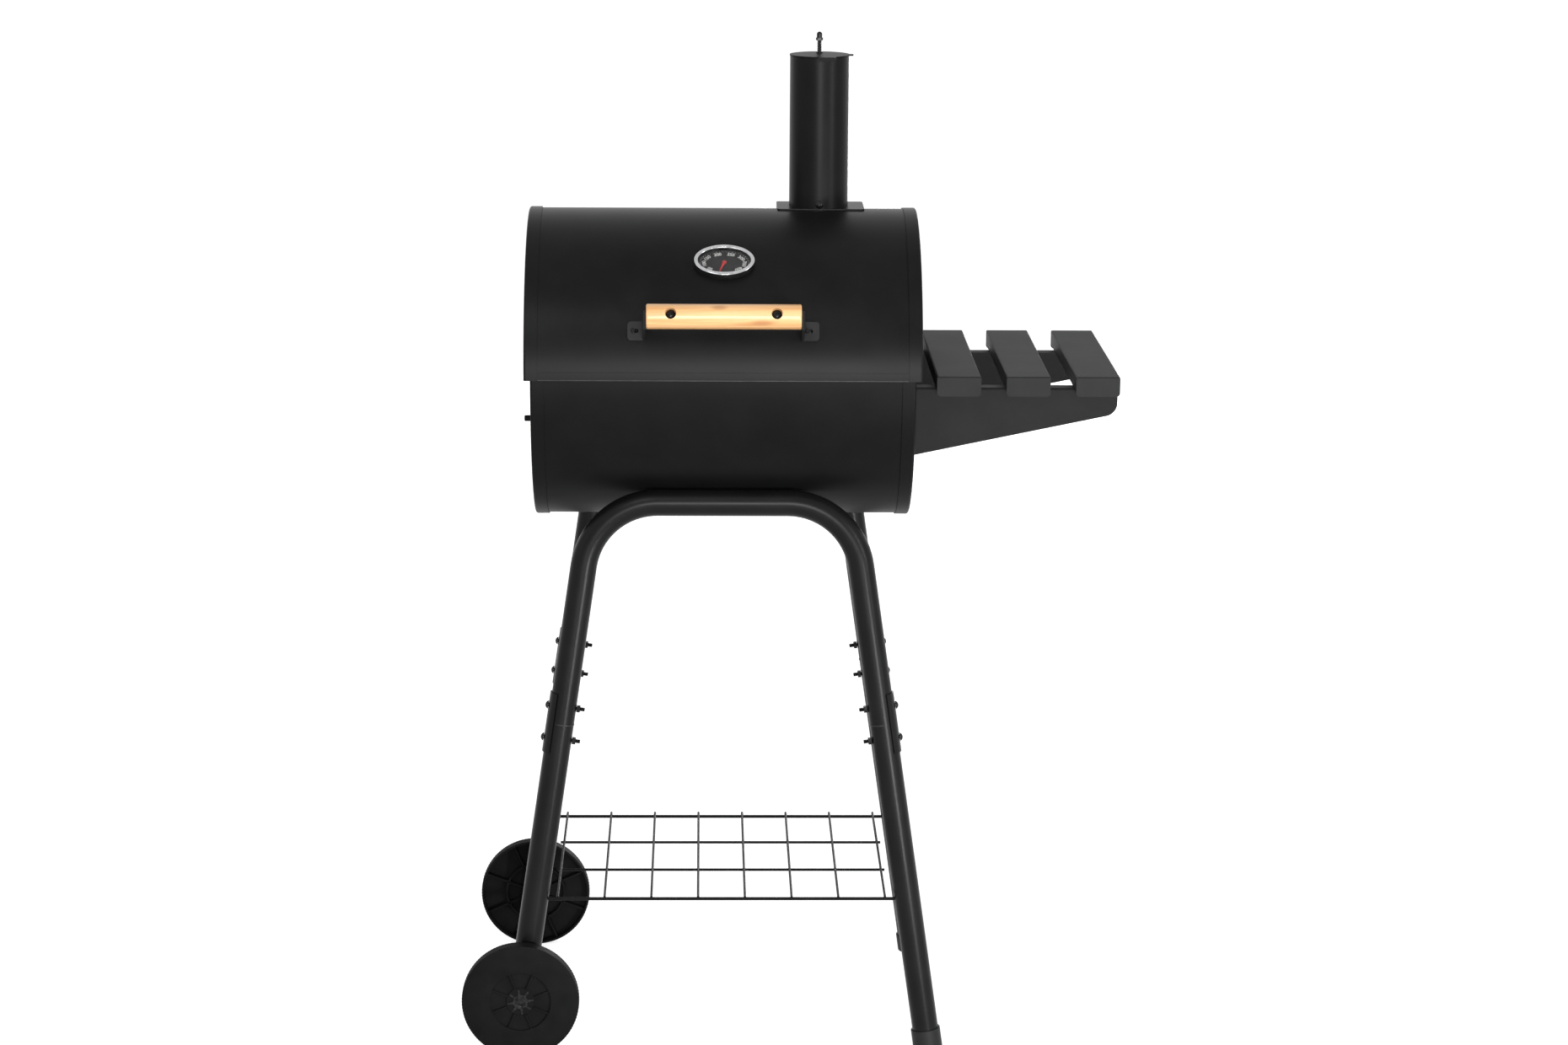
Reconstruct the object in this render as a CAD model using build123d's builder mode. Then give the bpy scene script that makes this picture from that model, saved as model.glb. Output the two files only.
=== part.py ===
from build123d import *

import os
from math import cos, radians, sin, sqrt

# A charcoal barrel grill with a smoke stack: a rolled sheet barrel on two bent tube frames, with
# a hinged lid, two wheels on one axle, a wire rack between the legs and a slatted side shelf.
# +X runs along the barrel towards the shelf, +Y to the hinges and +Z up. The origin is on the
# floor below the middle of the whole grill. All sizes are in millimetres.

os.makedirs("parts", exist_ok=True)

# ---- driving dimensions --------------------------------------------------------------------------------

# fits
seat = 0.3  # gap left at a seat on a curved face
running = 0.05  # radial clearance of a shaft that turns in its hole
bolt_clearance = 0.1  # radial clearance of a bolt in its hole

# barrel body
barrel_height = 823.5  # barrel axis above the floor
body_radius = 184
body_length = 456
sheet = 1.5  # barrel, lid and shelf sheet
front_lip = 22  # front edge of the body sheet above the axis
rear_lip = 24
body_end_top = 20

# pressed ends, which carry a rim turned over the rolled sheet
rim_width = 16
rim_wall = 1.2
rim_clearance = 0.2
rim_bend = 2.5

# lid
lid_gap = 4  # lid sheet clear of the body sheet
lid_overhang = 7.4  # lid end beyond the body end
lid_edge = 12  # lower edge of the lid and its ends above the axis
lid_rear_edge = 16
hem_height = 10
hem_wall = 0.9

# lid hinges
hinge_x = 130
pin_radius = 2.5
pin_standoff = 10  # hinge pin centre beyond the body sheet
pin_rise = 14
knuckle_radius = 4.5
lid_knuckle = 18
body_knuckle = 10
knuckle_gap = 0.3
leaf_width = 40
leaf_wall = 2
leaf_length = 38
pin_head_radius = 3.6
pin_head_height = 1.5

# lid handle
handle_foot_angle = 21.4  # elevation of the strap's feet round the lid
handle_angle = 25.5  # elevation of the direction that the handle stands out in
strap_span = 190
strap_width = 23
strap_wall = 3
strap_bend = 4.5
strap_foot = 21
handle_reach = 65  # grip centre from the foot on the lid
grip_radius = 14.7
grip_length = 180.5
grip_flat = 1.2  # depth of the flat that meets the strap
grip_screw_x = 61.6
grip_screw_head = 6.5
grip_bore_depth = 7
handle_foot_screw_x = 102.7
foot_screw_head = 6

# temperature gauge, an oval case on the lid
gauge_x = 1
gauge_angle = 48
gauge_length = 72
gauge_width = 46
gauge_height = 10.5
gauge_floor = 2.7
gauge_wall = 1.6
bezel_face = 4.6
bezel_wall = 1.2
bezel_skirt = 3.5
bezel_depth = 1.5
lens_thickness = 1.5
dial_thickness = 0.8
needle_length = 15.8
needle_heading = 248  # counterclockwise from +X, seen from outside
needle_wall = 0.8
needle_hub = 2.6
spindle_radius = 1
boss_radius = 5
probe_radius = 2.5
probe_length = 55
gauge_nut_flats = 14
gauge_nut_height = 4

# smoke stack
stack_inset = 111  # stack's axis from the body's right face
stack_y = 30
stack_radius = 36
stack_wall = 1.5
stack_height = 182.5
stack_plate_length = 106
stack_plate_depth = 67.5
stack_plate_offset = 2
plate_sheet = 1.5
collar_height = 14
collar_wall = 1.5
stack_screw_height = 5

# stack damper
damper_pivot = 17  # pivot behind the stack's centre
damper_radius = 36.5
damper_sheet = 1.5
damper_ear = 4.5
damper_tab_x = 8
damper_tab_width = 22
damper_tab_drop = 3.5
damper_strap_width = 12
damper_strap_drop = 12
damper_bolt_radius = 2
damper_spring_radius = 2.8
damper_spring_length = 14
damper_washer_radius = 4.2
damper_washer_thickness = 1
acorn_flats = 7.4
acorn_base = 3.2
acorn_dome_radius = 3.3
acorn_neck = 4

# end vent
vent_drop = 95
vent_radius = 42
vent_sheet = 1.2
vent_hole_radius = 10.5
vent_hole_circle = 24
vent_hole_count = 3
vent_knob_radius = 3.7
vent_knob_reach = 13.2
vent_knob_circle = 36
vent_knob_rise = 29
vent_rivet_radius = 3
vent_rivet_head = 6.5

# grates
grate_drop = 16  # underside of the cooking grates below the axis
grate_depth = 350
grate_thickness = 8
grate_gap = 2
grate_frame = 10
grate_bar = 6
grate_slot = 8
ledge_reach = 16
ledge_wall = 2
ledge_depth = 18
charcoal_drop = 95
charcoal_thickness = 3
charcoal_slot = 10
charcoal_pitch = 34
charcoal_margin = 18

# tube frames
tube_radius = 16
tube_wall = 1.6
arch_offset = 137  # top bar in front of and behind the barrel axis
arch_corner = 155.8
arch_bend = 90
leg_spread = 0.1465  # outward run for each millimetre of drop
leg_rake = 0.06
joint_height = 407.5
joint_pitch = 40
plate_length = 74
splint_wall = 1.6
splint_cover = 9  # splint edge outwards from the tube's centre
sleeve_wall = 1.5
arch_bolt_x = 62
rivet_nut_radius = 3.5
rivet_nut_length = 10

# M5 bolts and nuts
bolt_radius = 2.5
bolt_head_radius = 4.9
bolt_head_height = 3.6
nut_flats = 8
nut_height = 4.5
thread_end = 5.5

# wheels, axle and feet
wheel_radius = 71.5
hub_length = 22  # the hub stands out of the back of the wheel
tread_width = 17
axle_radius = 5
washer_radius = 9
washer_thickness = 1.6
washer_gap = 0.9
hub_radius = 10
boss_face_radius = 17.5  # boss in the middle of the recess, under the push nut
boss_recess = 1.5
wheel_recess_radius = 36.8
wheel_recess = 3
drum_depth = 13
wheel_wall = 2.5
wheel_rim = 3
wheel_ribs = 8
wheel_rib_wall = 2
recess_rib_wall = 1.6
rib_turn = 21  # first rib from +X
push_nut_radius = 16
push_nut_wall = 1
push_nut_points = 8
push_nut_disc = 9
push_nut_point_width = 3
leg_end_height = 50
cap_radius = 18
cap_height = 24
cap_clearance = 0.2
cap_floor = 7

# wire rack
rack_height = 187.5
rack_rod_radius = 2
rack_middle_radius = 1.65
cross_wire_radius = 1.5
cross_wire_span = 400
cross_wire_count = 8
cross_wire_overhang = 5

# side shelf
shelf_drop = 6  # top of the brackets below the barrel axis
bracket_y = 130
bracket_root = 82.6
bracket_tip = 31.3
bracket_sheet = 2
bracket_flange = 20
bracket_corner = 16
bracket_bend = 3
bracket_bolt_drops = (20, 62)
slat_count = 3
shelf_gap = 26.5  # first slat from the body's right face
slat_pitch = 82.9
slat_width = 52.5
slat_front = 155
slat_back = 172
slat_side = 18
slat_flap = 23.8
slat_bend = 2
slat_corner = 5
boss_wall = 2.4

# ---- places worked out from the driving dimensions -----------------------------------------------------

body_face = body_length / 2
stack_x = body_face - stack_inset
shell_setback = sheet + rim_bend - rim_wall  # rolled shells stop short of the bend in the ends
body_bore = body_radius - sheet
lid_bore = body_radius + lid_gap
lid_radius = lid_bore + sheet
lid_face = body_face + lid_overhang
hole_radius = bolt_radius + bolt_clearance
arch_height = barrel_height - sqrt((body_radius + seat + tube_radius) ** 2 - arch_offset**2)
axle_drop = arch_height - wheel_radius
wheel_y = arch_offset + leg_rake * axle_drop + tube_radius + washer_gap + washer_thickness + seat
wheel_outer = wheel_y + hub_length
push_nut_outer = wheel_outer - boss_recess + seat + push_nut_wall
handle_foot = radians(handle_foot_angle)
handle_lean = radians(handle_angle)
handle_front = lid_radius * cos(handle_foot) + handle_reach * cos(handle_lean) + grip_radius
axle_x = arch_corner + leg_spread * axle_drop
left_reach = axle_x + wheel_radius
first_slat_x = body_face + shelf_gap
bracket_length = shelf_gap + (slat_count - 1) * slat_pitch + slat_width  # ends flush with the last slat
barrel_x = (left_reach - body_face - bracket_length) / 2
barrel_y = (handle_front - push_nut_outer) / 2

barrel_centre = Vector(barrel_x, barrel_y, barrel_height)
barrel_axis = Axis(barrel_centre, (1, 0, 0))


def across(x):
    """Section square to the barrel at x from its middle: local x to the rear, local y up."""
    return Plane(origin=barrel_centre + Vector(x, 0, 0), x_dir=(0, 1, 0), z_dir=(1, 0, 0))


def lengthwise(y):
    """Upright plane along the barrel at y from its axis, seen from the front: local y up."""
    return Plane(origin=barrel_centre + Vector(0, y, 0), x_dir=(1, 0, 0), z_dir=(0, -1, 0))


def level(rise):
    """Level plane at a height from the barrel axis, centred over the barrel."""
    return Plane(origin=barrel_centre + Vector(0, 0, rise))


def shifted(plane, x, y, z):
    """The same plane moved along its own axes."""
    return Plane(origin=plane.from_local_coords((x, y, z)), x_dir=plane.x_dir, z_dir=plane.z_dir)


def round_lid(angle, lean):
    """Plane on the lid's surface at an elevation from the front, its z axis leaning out at another."""
    foot = Vector(0, -lid_radius * cos(radians(angle)), lid_radius * sin(radians(angle)))
    outward = Vector(0, -cos(radians(lean)), sin(radians(lean)))
    return Plane(origin=barrel_centre + foot, x_dir=(1, 0, 0), z_dir=outward)


def domed_head(plane, radius, height):
    """A shallow domed screw head that stands on a plane."""
    rim = height / 4
    rise = height - rim
    with BuildPart() as head:
        with BuildSketch(Plane(origin=plane.origin, x_dir=plane.x_dir, z_dir=-plane.y_dir)):
            with BuildLine():
                Polyline((0, height), (0, 0), (radius, 0), (radius, rim))
                RadiusArc((0, height), (radius, rim), (radius**2 + rise**2) / (2 * rise))
            make_face()
        revolve(axis=Axis(plane.origin, plane.z_dir))
    return head.part


def hexagon_nut(plane, flats, height, bore):
    """A plain nut that stands on a plane."""
    with BuildPart() as nut:
        with BuildSketch(plane):
            RegularPolygon(flats / 2, 6, major_radius=False)
            Circle(bore, mode=Mode.SUBTRACT)
        extrude(amount=height)
    return nut.part


def save(piece, label):
    """Name a finished piece and write it as its own file."""
    piece.label = label
    export_step(piece, f"parts/{label}.step")


# ---- barrel body -------------------------------------------------------------------------------------------


def pressed_end(side, face, shell_radius):
    """A flat disc with its rim turned inwards over the outside of a rolled shell."""
    inner = shell_radius + rim_clearance
    outer = inner + rim_wall
    with BuildPart() as end:
        with BuildSketch(lengthwise(0)) as profile:
            with BuildLine():
                Polyline(
                    (side * face, 0),
                    (side * face, outer),
                    (side * (face - rim_width), outer),
                    (side * (face - rim_width), inner),
                    (side * (face - sheet), inner),
                    (side * (face - sheet), 0),
                    close=True,
                )
            make_face()
            outside = profile.vertices().sort_by_distance((side * face, outer))[0]
            fillet(outside, rim_bend)
            inside = profile.vertices().sort_by_distance((side * (face - sheet), inner))[0]
            fillet(inside, rim_bend - rim_wall)
        revolve(axis=barrel_axis)
    return end.part


# The body stands on the two arches. Bolts from inside it go into rivet nuts set in the arches' tubes.
arch_bolt_planes = []
for end in (-1, 1):
    outward = Vector(0, end * arch_offset, arch_height - barrel_height)
    for way in (-1, 1):
        foot = barrel_centre + outward.normalized() * body_radius + Vector(way * arch_bolt_x, 0, 0)
        arch_bolt_planes.append(Plane(origin=foot, x_dir=(1, 0, 0), z_dir=outward))

with BuildPart() as body_shell:
    with BuildSketch(across(shell_setback - body_face)):
        Circle(body_radius)
        Circle(body_bore, mode=Mode.SUBTRACT)
        with Locations((0, front_lip)):
            Rectangle(2 * body_radius, 2 * body_radius, align=(Align.MAX, Align.MIN), mode=Mode.SUBTRACT)
        with Locations((0, rear_lip)):
            Rectangle(2 * body_radius, 2 * body_radius, align=(Align.MIN, Align.MIN), mode=Mode.SUBTRACT)
    extrude(amount=body_length - 2 * shell_setback)
    with Locations(*arch_bolt_planes):
        Cylinder(hole_radius, 4 * sheet, mode=Mode.SUBTRACT)

save(body_shell.part, "body_shell")


# The left end is drilled for the vent.
vent_plane = Plane(
    origin=barrel_centre + Vector(-body_face, 0, -vent_drop), x_dir=(0, -1, 0), z_dir=(-1, 0, 0)
)

with BuildPart() as body_end_left:
    add(pressed_end(-1, body_face, body_radius))
    split(bisect_by=level(body_end_top), keep=Keep.BOTTOM)
    with BuildSketch(vent_plane):
        Circle(vent_rivet_radius + running)
        with PolarLocations(vent_hole_circle, vent_hole_count, start_angle=90):
            Circle(vent_hole_radius)
    extrude(amount=-2 * sheet, mode=Mode.SUBTRACT)

save(body_end_left.part, "body_end_left")


# The right end is drilled for the shelf brackets.
bracket_bolt_y = bracket_y - bracket_flange / 2
bracket_bolt_planes = []
for end in (-1, 1):
    for drop in bracket_bolt_drops:
        seat_point = Vector(body_face, end * bracket_bolt_y, -shelf_drop - drop)
        bracket_bolt_planes.append(Plane(origin=barrel_centre + seat_point, x_dir=(0, 1, 0), z_dir=(1, 0, 0)))

with BuildPart() as body_end_right:
    add(pressed_end(1, body_face, body_radius))
    split(bisect_by=level(body_end_top), keep=Keep.BOTTOM)
    with Locations(*bracket_bolt_planes):
        Cylinder(hole_radius, 4 * sheet, mode=Mode.SUBTRACT)

save(body_end_right.part, "body_end_right")


# ---- end vent ----------------------------------------------------------------------------------------------

knob_y = vent_knob_rise
knob_x = sqrt(vent_knob_circle**2 - knob_y**2)

with BuildPart() as vent_disc:
    with BuildSketch(vent_plane.offset(seat)):
        Circle(vent_radius)
        Circle(vent_rivet_radius + running, mode=Mode.SUBTRACT)
        with PolarLocations(vent_hole_circle, vent_hole_count, start_angle=90):
            Circle(vent_hole_radius, mode=Mode.SUBTRACT)
    extrude(amount=vent_sheet)
    with BuildSketch(shifted(vent_plane, knob_x, knob_y, seat + vent_sheet)):
        Circle(vent_knob_radius)
    extrude(amount=vent_knob_reach)
    fillet(vent_disc.faces().sort_by(Axis.X)[0].edges(), vent_knob_radius / 3)

save(vent_disc.part, "vent_disc")

with BuildPart() as vent_rivet:
    with BuildSketch(vent_plane.offset(-sheet - seat - sheet)):
        Circle(vent_rivet_head - sheet)
    extrude(amount=sheet)
    with BuildSketch(vent_plane.offset(-sheet - seat)):
        Circle(vent_rivet_radius)
    extrude(amount=sheet + seat + seat + vent_sheet + seat)
    with BuildSketch(vent_plane.offset(seat + vent_sheet + seat)):
        Circle(vent_rivet_head)
    extrude(amount=2 * sheet)
    fillet(vent_rivet.faces().sort_by(Axis.X)[0].edges(), sheet)

save(vent_rivet.part, "vent_rivet")


# ---- grates ------------------------------------------------------------------------------------------------

chamber = body_length - 2 * sheet
ledge_half = sqrt((body_bore - seat) ** 2 - (grate_drop + seat) ** 2)

# Two ledges bent from strip run along the front and the rear of the barrel.
with BuildPart() as grate_rests:
    with BuildSketch(across(grate_frame - chamber / 2)):
        Circle(body_bore - seat)
        Circle(body_bore - seat - ledge_wall, mode=Mode.SUBTRACT)
        with Locations((0, -grate_drop - seat)):
            Rectangle(2 * body_radius, ledge_depth, align=(Align.CENTER, Align.MAX), mode=Mode.INTERSECT)
        for end in (-1, 1):
            with Locations((end * (ledge_half - ledge_reach / 2 - ledge_wall / 2), -grate_drop - seat)):
                Rectangle(ledge_reach, ledge_wall, align=(Align.CENTER, Align.MAX))
    extrude(amount=chamber - 2 * grate_frame)

save(grate_rests.part, "grate_rests")


def cooking_grate(side):
    """A cast grate with bars running front to rear and a rib across the middle."""
    length = (chamber - 3 * grate_gap) / 2
    pitch = grate_bar + grate_slot
    slots = int((length - 2 * grate_frame + grate_bar) // pitch)
    slot_length = (grate_depth - 3 * grate_frame) / 2
    with BuildPart() as grate:
        with BuildSketch(shifted(level(-grate_drop), side * (length + grate_gap) / 2, 0, 0)):
            Rectangle(length, grate_depth)
            with GridLocations(pitch, slot_length + grate_frame, slots, 2):
                Rectangle(grate_slot, slot_length, mode=Mode.SUBTRACT)
        extrude(amount=grate_thickness)
        chamfer(grate.edges().filter_by(Axis.Z).sort_by(SortBy.DISTANCE)[-4:], grate_frame / 4)
    return grate.part


save(cooking_grate(-1), "cooking_grate_left")
save(cooking_grate(1), "cooking_grate_right")

charcoal_half = sqrt((body_bore - seat) ** 2 - (charcoal_drop + charcoal_thickness) ** 2)
charcoal_length = chamber - 2 * charcoal_margin
charcoal_slots = int((charcoal_length - charcoal_margin) // charcoal_pitch)

with BuildPart() as charcoal_grate:
    with BuildSketch(level(-charcoal_drop)):
        Rectangle(charcoal_length, 2 * charcoal_half)
        with GridLocations(charcoal_pitch, charcoal_half, charcoal_slots, 2):
            Rectangle(charcoal_slot, charcoal_half - 2 * charcoal_margin, mode=Mode.SUBTRACT)
    extrude(amount=-charcoal_thickness)

save(charcoal_grate.part, "charcoal_grate")


# ---- lid ---------------------------------------------------------------------------------------------------

foot_plane = round_lid(handle_foot_angle, handle_foot_angle)
grip_plane = round_lid(handle_foot_angle, handle_angle)
gauge_plane = shifted(round_lid(gauge_angle, gauge_angle), gauge_x, 0, 0)
stack_foot = lid_radius + seat + plate_sheet  # top of the stack's plate above the axis
stack_bore = stack_radius - stack_wall
collar_radius = stack_bore - bolt_clearance
foot_screw_planes = [shifted(foot_plane, side * handle_foot_screw_x, 0, 0) for side in (-1, 1)]

with BuildPart() as lid_shell:
    with BuildSketch(across(shell_setback - lid_face)):
        Circle(lid_radius)
        Circle(lid_bore, mode=Mode.SUBTRACT)
        with Locations((0, lid_edge)):
            Rectangle(2 * lid_radius, 2 * lid_radius, align=(Align.MAX, Align.MAX), mode=Mode.SUBTRACT)
        with Locations((0, lid_rear_edge)):
            Rectangle(2 * lid_radius, 2 * lid_radius, align=(Align.MIN, Align.MAX), mode=Mode.SUBTRACT)
    extrude(amount=2 * (lid_face - shell_setback))
    # a folded hem stiffens the front edge between the rims of the lid ends
    with BuildSketch(across(rim_width + seat - lid_face)):
        Circle(lid_radius + hem_wall)
        Circle(lid_radius - sheet / 2, mode=Mode.SUBTRACT)
        with Locations((0, lid_edge)):
            Rectangle(2 * lid_radius, hem_height, align=(Align.MAX, Align.MIN), mode=Mode.INTERSECT)
    extrude(amount=2 * (lid_face - rim_width - seat))
    with Locations(*foot_screw_planes):
        Cylinder(hole_radius, 8 * sheet, mode=Mode.SUBTRACT)
    with Locations(gauge_plane):
        Cylinder(boss_radius + bolt_clearance, 8 * sheet, mode=Mode.SUBTRACT)
    with Locations(shifted(level(lid_radius), stack_x, stack_y, 0)):
        Cylinder(collar_radius - collar_wall, lid_radius / 2, mode=Mode.SUBTRACT)

save(lid_shell.part, "lid_shell")

for side, label in ((-1, "lid_end_left"), (1, "lid_end_right")):
    with BuildPart() as lid_end:
        add(pressed_end(side, lid_face, lid_radius))
        split(bisect_by=level(lid_edge), keep=Keep.TOP)
    save(lid_end.part, label)


# ---- lid hinges --------------------------------------------------------------------------------------------

pin_y = body_radius + pin_standoff - seat
knuckle_bore = pin_radius + running
body_leaf_inner = body_radius + seat
lid_leaf_inner = lid_radius + seat
body_leaf_top = pin_rise - knuckle_radius - leaf_wall
lid_leaf_foot = pin_rise + knuckle_radius + leaf_wall


def strip_of_shell(inner, low, high):
    """Sketch on the current section: the rear stretch of a curved strip between two heights."""
    Circle(inner + leaf_wall)
    Circle(inner, mode=Mode.SUBTRACT)
    with Locations((0, low)):
        Rectangle(2 * inner, high - low, align=(Align.MIN, Align.MIN), mode=Mode.INTERSECT)


with BuildPart() as hinge_body_leaves:
    for side in (-1, 1):
        left_edge = side * hinge_x - leaf_width / 2
        with BuildSketch(across(left_edge)):
            strip_of_shell(body_leaf_inner, body_leaf_top - leaf_length, body_leaf_top)
        extrude(amount=leaf_width)
        for way in (-1, 1):
            near = side * hinge_x + way * (lid_knuckle / 2 + knuckle_gap)
            with BuildSketch(across(near)):
                with Locations((pin_y, pin_rise)):
                    Circle(knuckle_radius)
                with BuildLine():
                    Polyline(
                        (body_leaf_inner + leaf_wall / 2, body_leaf_top - 2 * knuckle_radius),
                        (body_leaf_inner + leaf_wall / 2, body_leaf_top),
                        (pin_y - knuckle_radius * 0.7, pin_rise - knuckle_radius * 0.3),
                        (pin_y + knuckle_radius * 0.7, pin_rise - knuckle_radius * 0.7),
                        close=True,
                    )
                make_face()
                with Locations((pin_y, pin_rise)):
                    Circle(knuckle_bore, mode=Mode.SUBTRACT)
            extrude(amount=way * body_knuckle)

save(hinge_body_leaves.part, "hinge_body_leaves")

with BuildPart() as hinge_lid_leaves:
    for side in (-1, 1):
        with BuildSketch(across(side * hinge_x - leaf_width / 2)):
            strip_of_shell(lid_leaf_inner, lid_leaf_foot, lid_leaf_foot + leaf_length)
        extrude(amount=leaf_width)
        with BuildSketch(across(side * hinge_x - lid_knuckle / 2)):
            with Locations((pin_y, pin_rise)):
                Circle(knuckle_radius)
            with BuildLine():
                Polyline(
                    (lid_leaf_inner + leaf_wall * 0.2, lid_leaf_foot + 2 * knuckle_radius),
                    (lid_leaf_inner - leaf_wall * 0.2, lid_leaf_foot),
                    (pin_y - knuckle_radius * 0.9, pin_rise + knuckle_radius * 0.2),
                    (pin_y + knuckle_radius * 0.7, pin_rise + knuckle_radius * 0.7),
                    close=True,
                )
            make_face()
            with Locations((pin_y, pin_rise)):
                Circle(knuckle_bore, mode=Mode.SUBTRACT)
        extrude(amount=lid_knuckle)

save(hinge_lid_leaves.part, "hinge_lid_leaves")

with BuildPart() as hinge_pins:
    for side in (-1, 1):
        half = lid_knuckle / 2 + knuckle_gap + body_knuckle + knuckle_gap
        with BuildSketch(shifted(across(side * hinge_x - half), pin_y, pin_rise, 0)):
            Circle(pin_radius)
        extrude(amount=2 * half)
        for way in (-1, 1):
            with BuildSketch(shifted(across(side * hinge_x + way * half), pin_y, pin_rise, 0)):
                Circle(pin_head_radius)
            extrude(amount=way * pin_head_height)

save(hinge_pins.part, "hinge_pins")


# ---- lid handle --------------------------------------------------------------------------------------------

strap_half = strap_span / 2
strap_out = handle_reach - grip_radius + grip_flat  # outer face of the strap's bar from its foot
strap_root = 3 * strap_wall
grip_screw_planes = [shifted(grip_plane, side * grip_screw_x, 0, strap_out) for side in (-1, 1)]

# The strap is bent from one flat bar: two feet on the lid, two legs and a bar behind the grip.
with BuildPart() as handle_strap:
    with BuildSketch(Plane(origin=grip_plane.origin, x_dir=(1, 0, 0), z_dir=-grip_plane.y_dir)):
        leg_x = strap_half - strap_wall / 2
        bar_y = strap_out - strap_wall / 2
        with BuildLine():
            FilletPolyline(
                (-leg_x, -strap_root),
                (-leg_x, bar_y),
                (leg_x, bar_y),
                (leg_x, -strap_root),
                radius=strap_bend,
            )
        trace(line_width=strap_wall)
    extrude(amount=strap_width / 2, both=True)
    split(bisect_by=foot_plane.offset(seat), keep=Keep.TOP)
    for side in (-1, 1):
        foot_middle = side * (strap_half - strap_wall + strap_foot / 2)
        with BuildSketch(shifted(foot_plane, foot_middle, 0, seat)) as foot:
            Rectangle(strap_foot, strap_width)
            fillet(foot.vertices().group_by(Axis.X)[0 if side < 0 else -1], strap_bend)
        extrude(amount=strap_wall)
    with Locations(*foot_screw_planes, *grip_screw_planes):
        Cylinder(hole_radius, 8 * strap_wall, mode=Mode.SUBTRACT)

save(handle_strap.part, "handle_strap")

with BuildPart() as handle_grip:
    grip_end = shifted(grip_plane, -grip_length / 2, 0, handle_reach)
    with BuildSketch(Plane(origin=grip_end.origin, z_dir=(1, 0, 0))):
        Circle(grip_radius)
    extrude(amount=grip_length)
    fillet(handle_grip.edges().filter_by(GeomType.CIRCLE), 1.5 * grip_flat)
    with BuildSketch(grip_plane.offset(strap_out)):
        Rectangle(2 * grip_length, 4 * grip_radius)
    extrude(amount=-grip_radius, mode=Mode.SUBTRACT)
    with Locations(*[plane.offset(2 * grip_radius - grip_flat) for plane in grip_screw_planes]):
        CounterBoreHole(hole_radius, grip_screw_head, grip_bore_depth, 3 * grip_radius)

save(handle_grip.part, "handle_grip")

grip_screw_seat = 2 * grip_radius - grip_flat - grip_bore_depth

with BuildPart() as handle_grip_screws:
    for plane in grip_screw_planes:
        with BuildSketch(plane.offset(-strap_wall - nut_height)):
            Circle(bolt_radius)
        extrude(amount=strap_wall + nut_height + grip_screw_seat)
        add(domed_head(plane.offset(grip_screw_seat), bolt_head_radius, bolt_head_height))
        add(hexagon_nut(plane.offset(-strap_wall - nut_height), nut_flats, nut_height, bolt_radius / 2))

save(handle_grip_screws.part, "handle_grip_screws")

with BuildPart() as handle_foot_screws:
    for plane in foot_screw_planes:
        inside = plane.offset(-sheet - 2 * seat - nut_height)
        head_seat = plane.offset(seat + strap_wall)
        with BuildSketch(inside):
            Circle(bolt_radius)
        extrude(amount=nut_height + sheet + 3 * seat + strap_wall)
        add(domed_head(head_seat, foot_screw_head, bolt_head_height))
        add(hexagon_nut(inside, nut_flats, nut_height, bolt_radius / 2))

save(handle_foot_screws.part, "handle_foot_screws")


# ---- temperature gauge -------------------------------------------------------------------------------------

case_long = gauge_length / 2 - bezel_wall - running
case_short = gauge_width / 2 - bezel_wall - running
case_top = gauge_height - bezel_depth - lens_thickness
gauge_sag = lid_radius - sqrt(lid_radius**2 - case_short**2) + seat

with BuildPart() as gauge_case:
    with BuildSketch(gauge_plane.offset(-gauge_sag)):
        Ellipse(case_long, case_short)
    extrude(amount=case_top + gauge_sag)
    with BuildSketch(gauge_plane.offset(seat + gauge_floor)):
        Ellipse(case_long - gauge_wall, case_short - gauge_wall)
    extrude(amount=case_top, mode=Mode.SUBTRACT)
    with BuildSketch(across(-gauge_length)):
        Circle(lid_radius + seat)
    extrude(amount=2 * gauge_length, mode=Mode.SUBTRACT)
    with Locations(gauge_plane):
        Cylinder(spindle_radius + running, 4 * gauge_height, mode=Mode.SUBTRACT)

save(gauge_case.part, "gauge_case")

with BuildPart() as gauge_dial:
    with BuildSketch(gauge_plane.offset(seat + gauge_floor)):
        Ellipse(case_long - gauge_wall - seat, case_short - gauge_wall - seat)
        Circle(spindle_radius + running, mode=Mode.SUBTRACT)
    extrude(amount=dial_thickness)

save(gauge_dial.part, "gauge_dial")

needle_base = seat + gauge_floor + dial_thickness + seat
heading = radians(needle_heading)
pointing = gauge_plane.x_dir * cos(heading) + gauge_plane.y_dir * sin(heading)
needle_plane = Plane(origin=gauge_plane.origin, x_dir=pointing, z_dir=gauge_plane.z_dir)

with BuildPart() as gauge_needle:
    with BuildSketch(needle_plane.offset(needle_base)):
        Circle(needle_hub)
        with BuildLine():
            Polyline(
                (0, needle_hub / 2),
                (needle_length, needle_wall / 4),
                (needle_length, -needle_wall / 4),
                (0, -needle_hub / 2),
                close=True,
            )
        make_face()
    extrude(amount=needle_wall)
    with BuildSketch(needle_plane.offset(-boss_radius)):
        Circle(spindle_radius)
    extrude(amount=boss_radius + needle_base)

save(gauge_needle.part, "gauge_needle")

with BuildPart() as gauge_stem:
    with BuildSketch(gauge_plane):
        Circle(boss_radius)
    extrude(amount=-sheet - 3 * seat - gauge_nut_height)
    with BuildSketch(gauge_plane):
        Circle(probe_radius)
    extrude(amount=-probe_length)
    tip = gauge_stem.faces().sort_by(Axis(gauge_plane.origin, gauge_plane.z_dir))[0]
    fillet(tip.edges(), probe_radius * 0.8)
    with BuildSketch(gauge_plane):
        Circle(spindle_radius + running)
    extrude(amount=-2 * boss_radius, mode=Mode.SUBTRACT)

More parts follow.
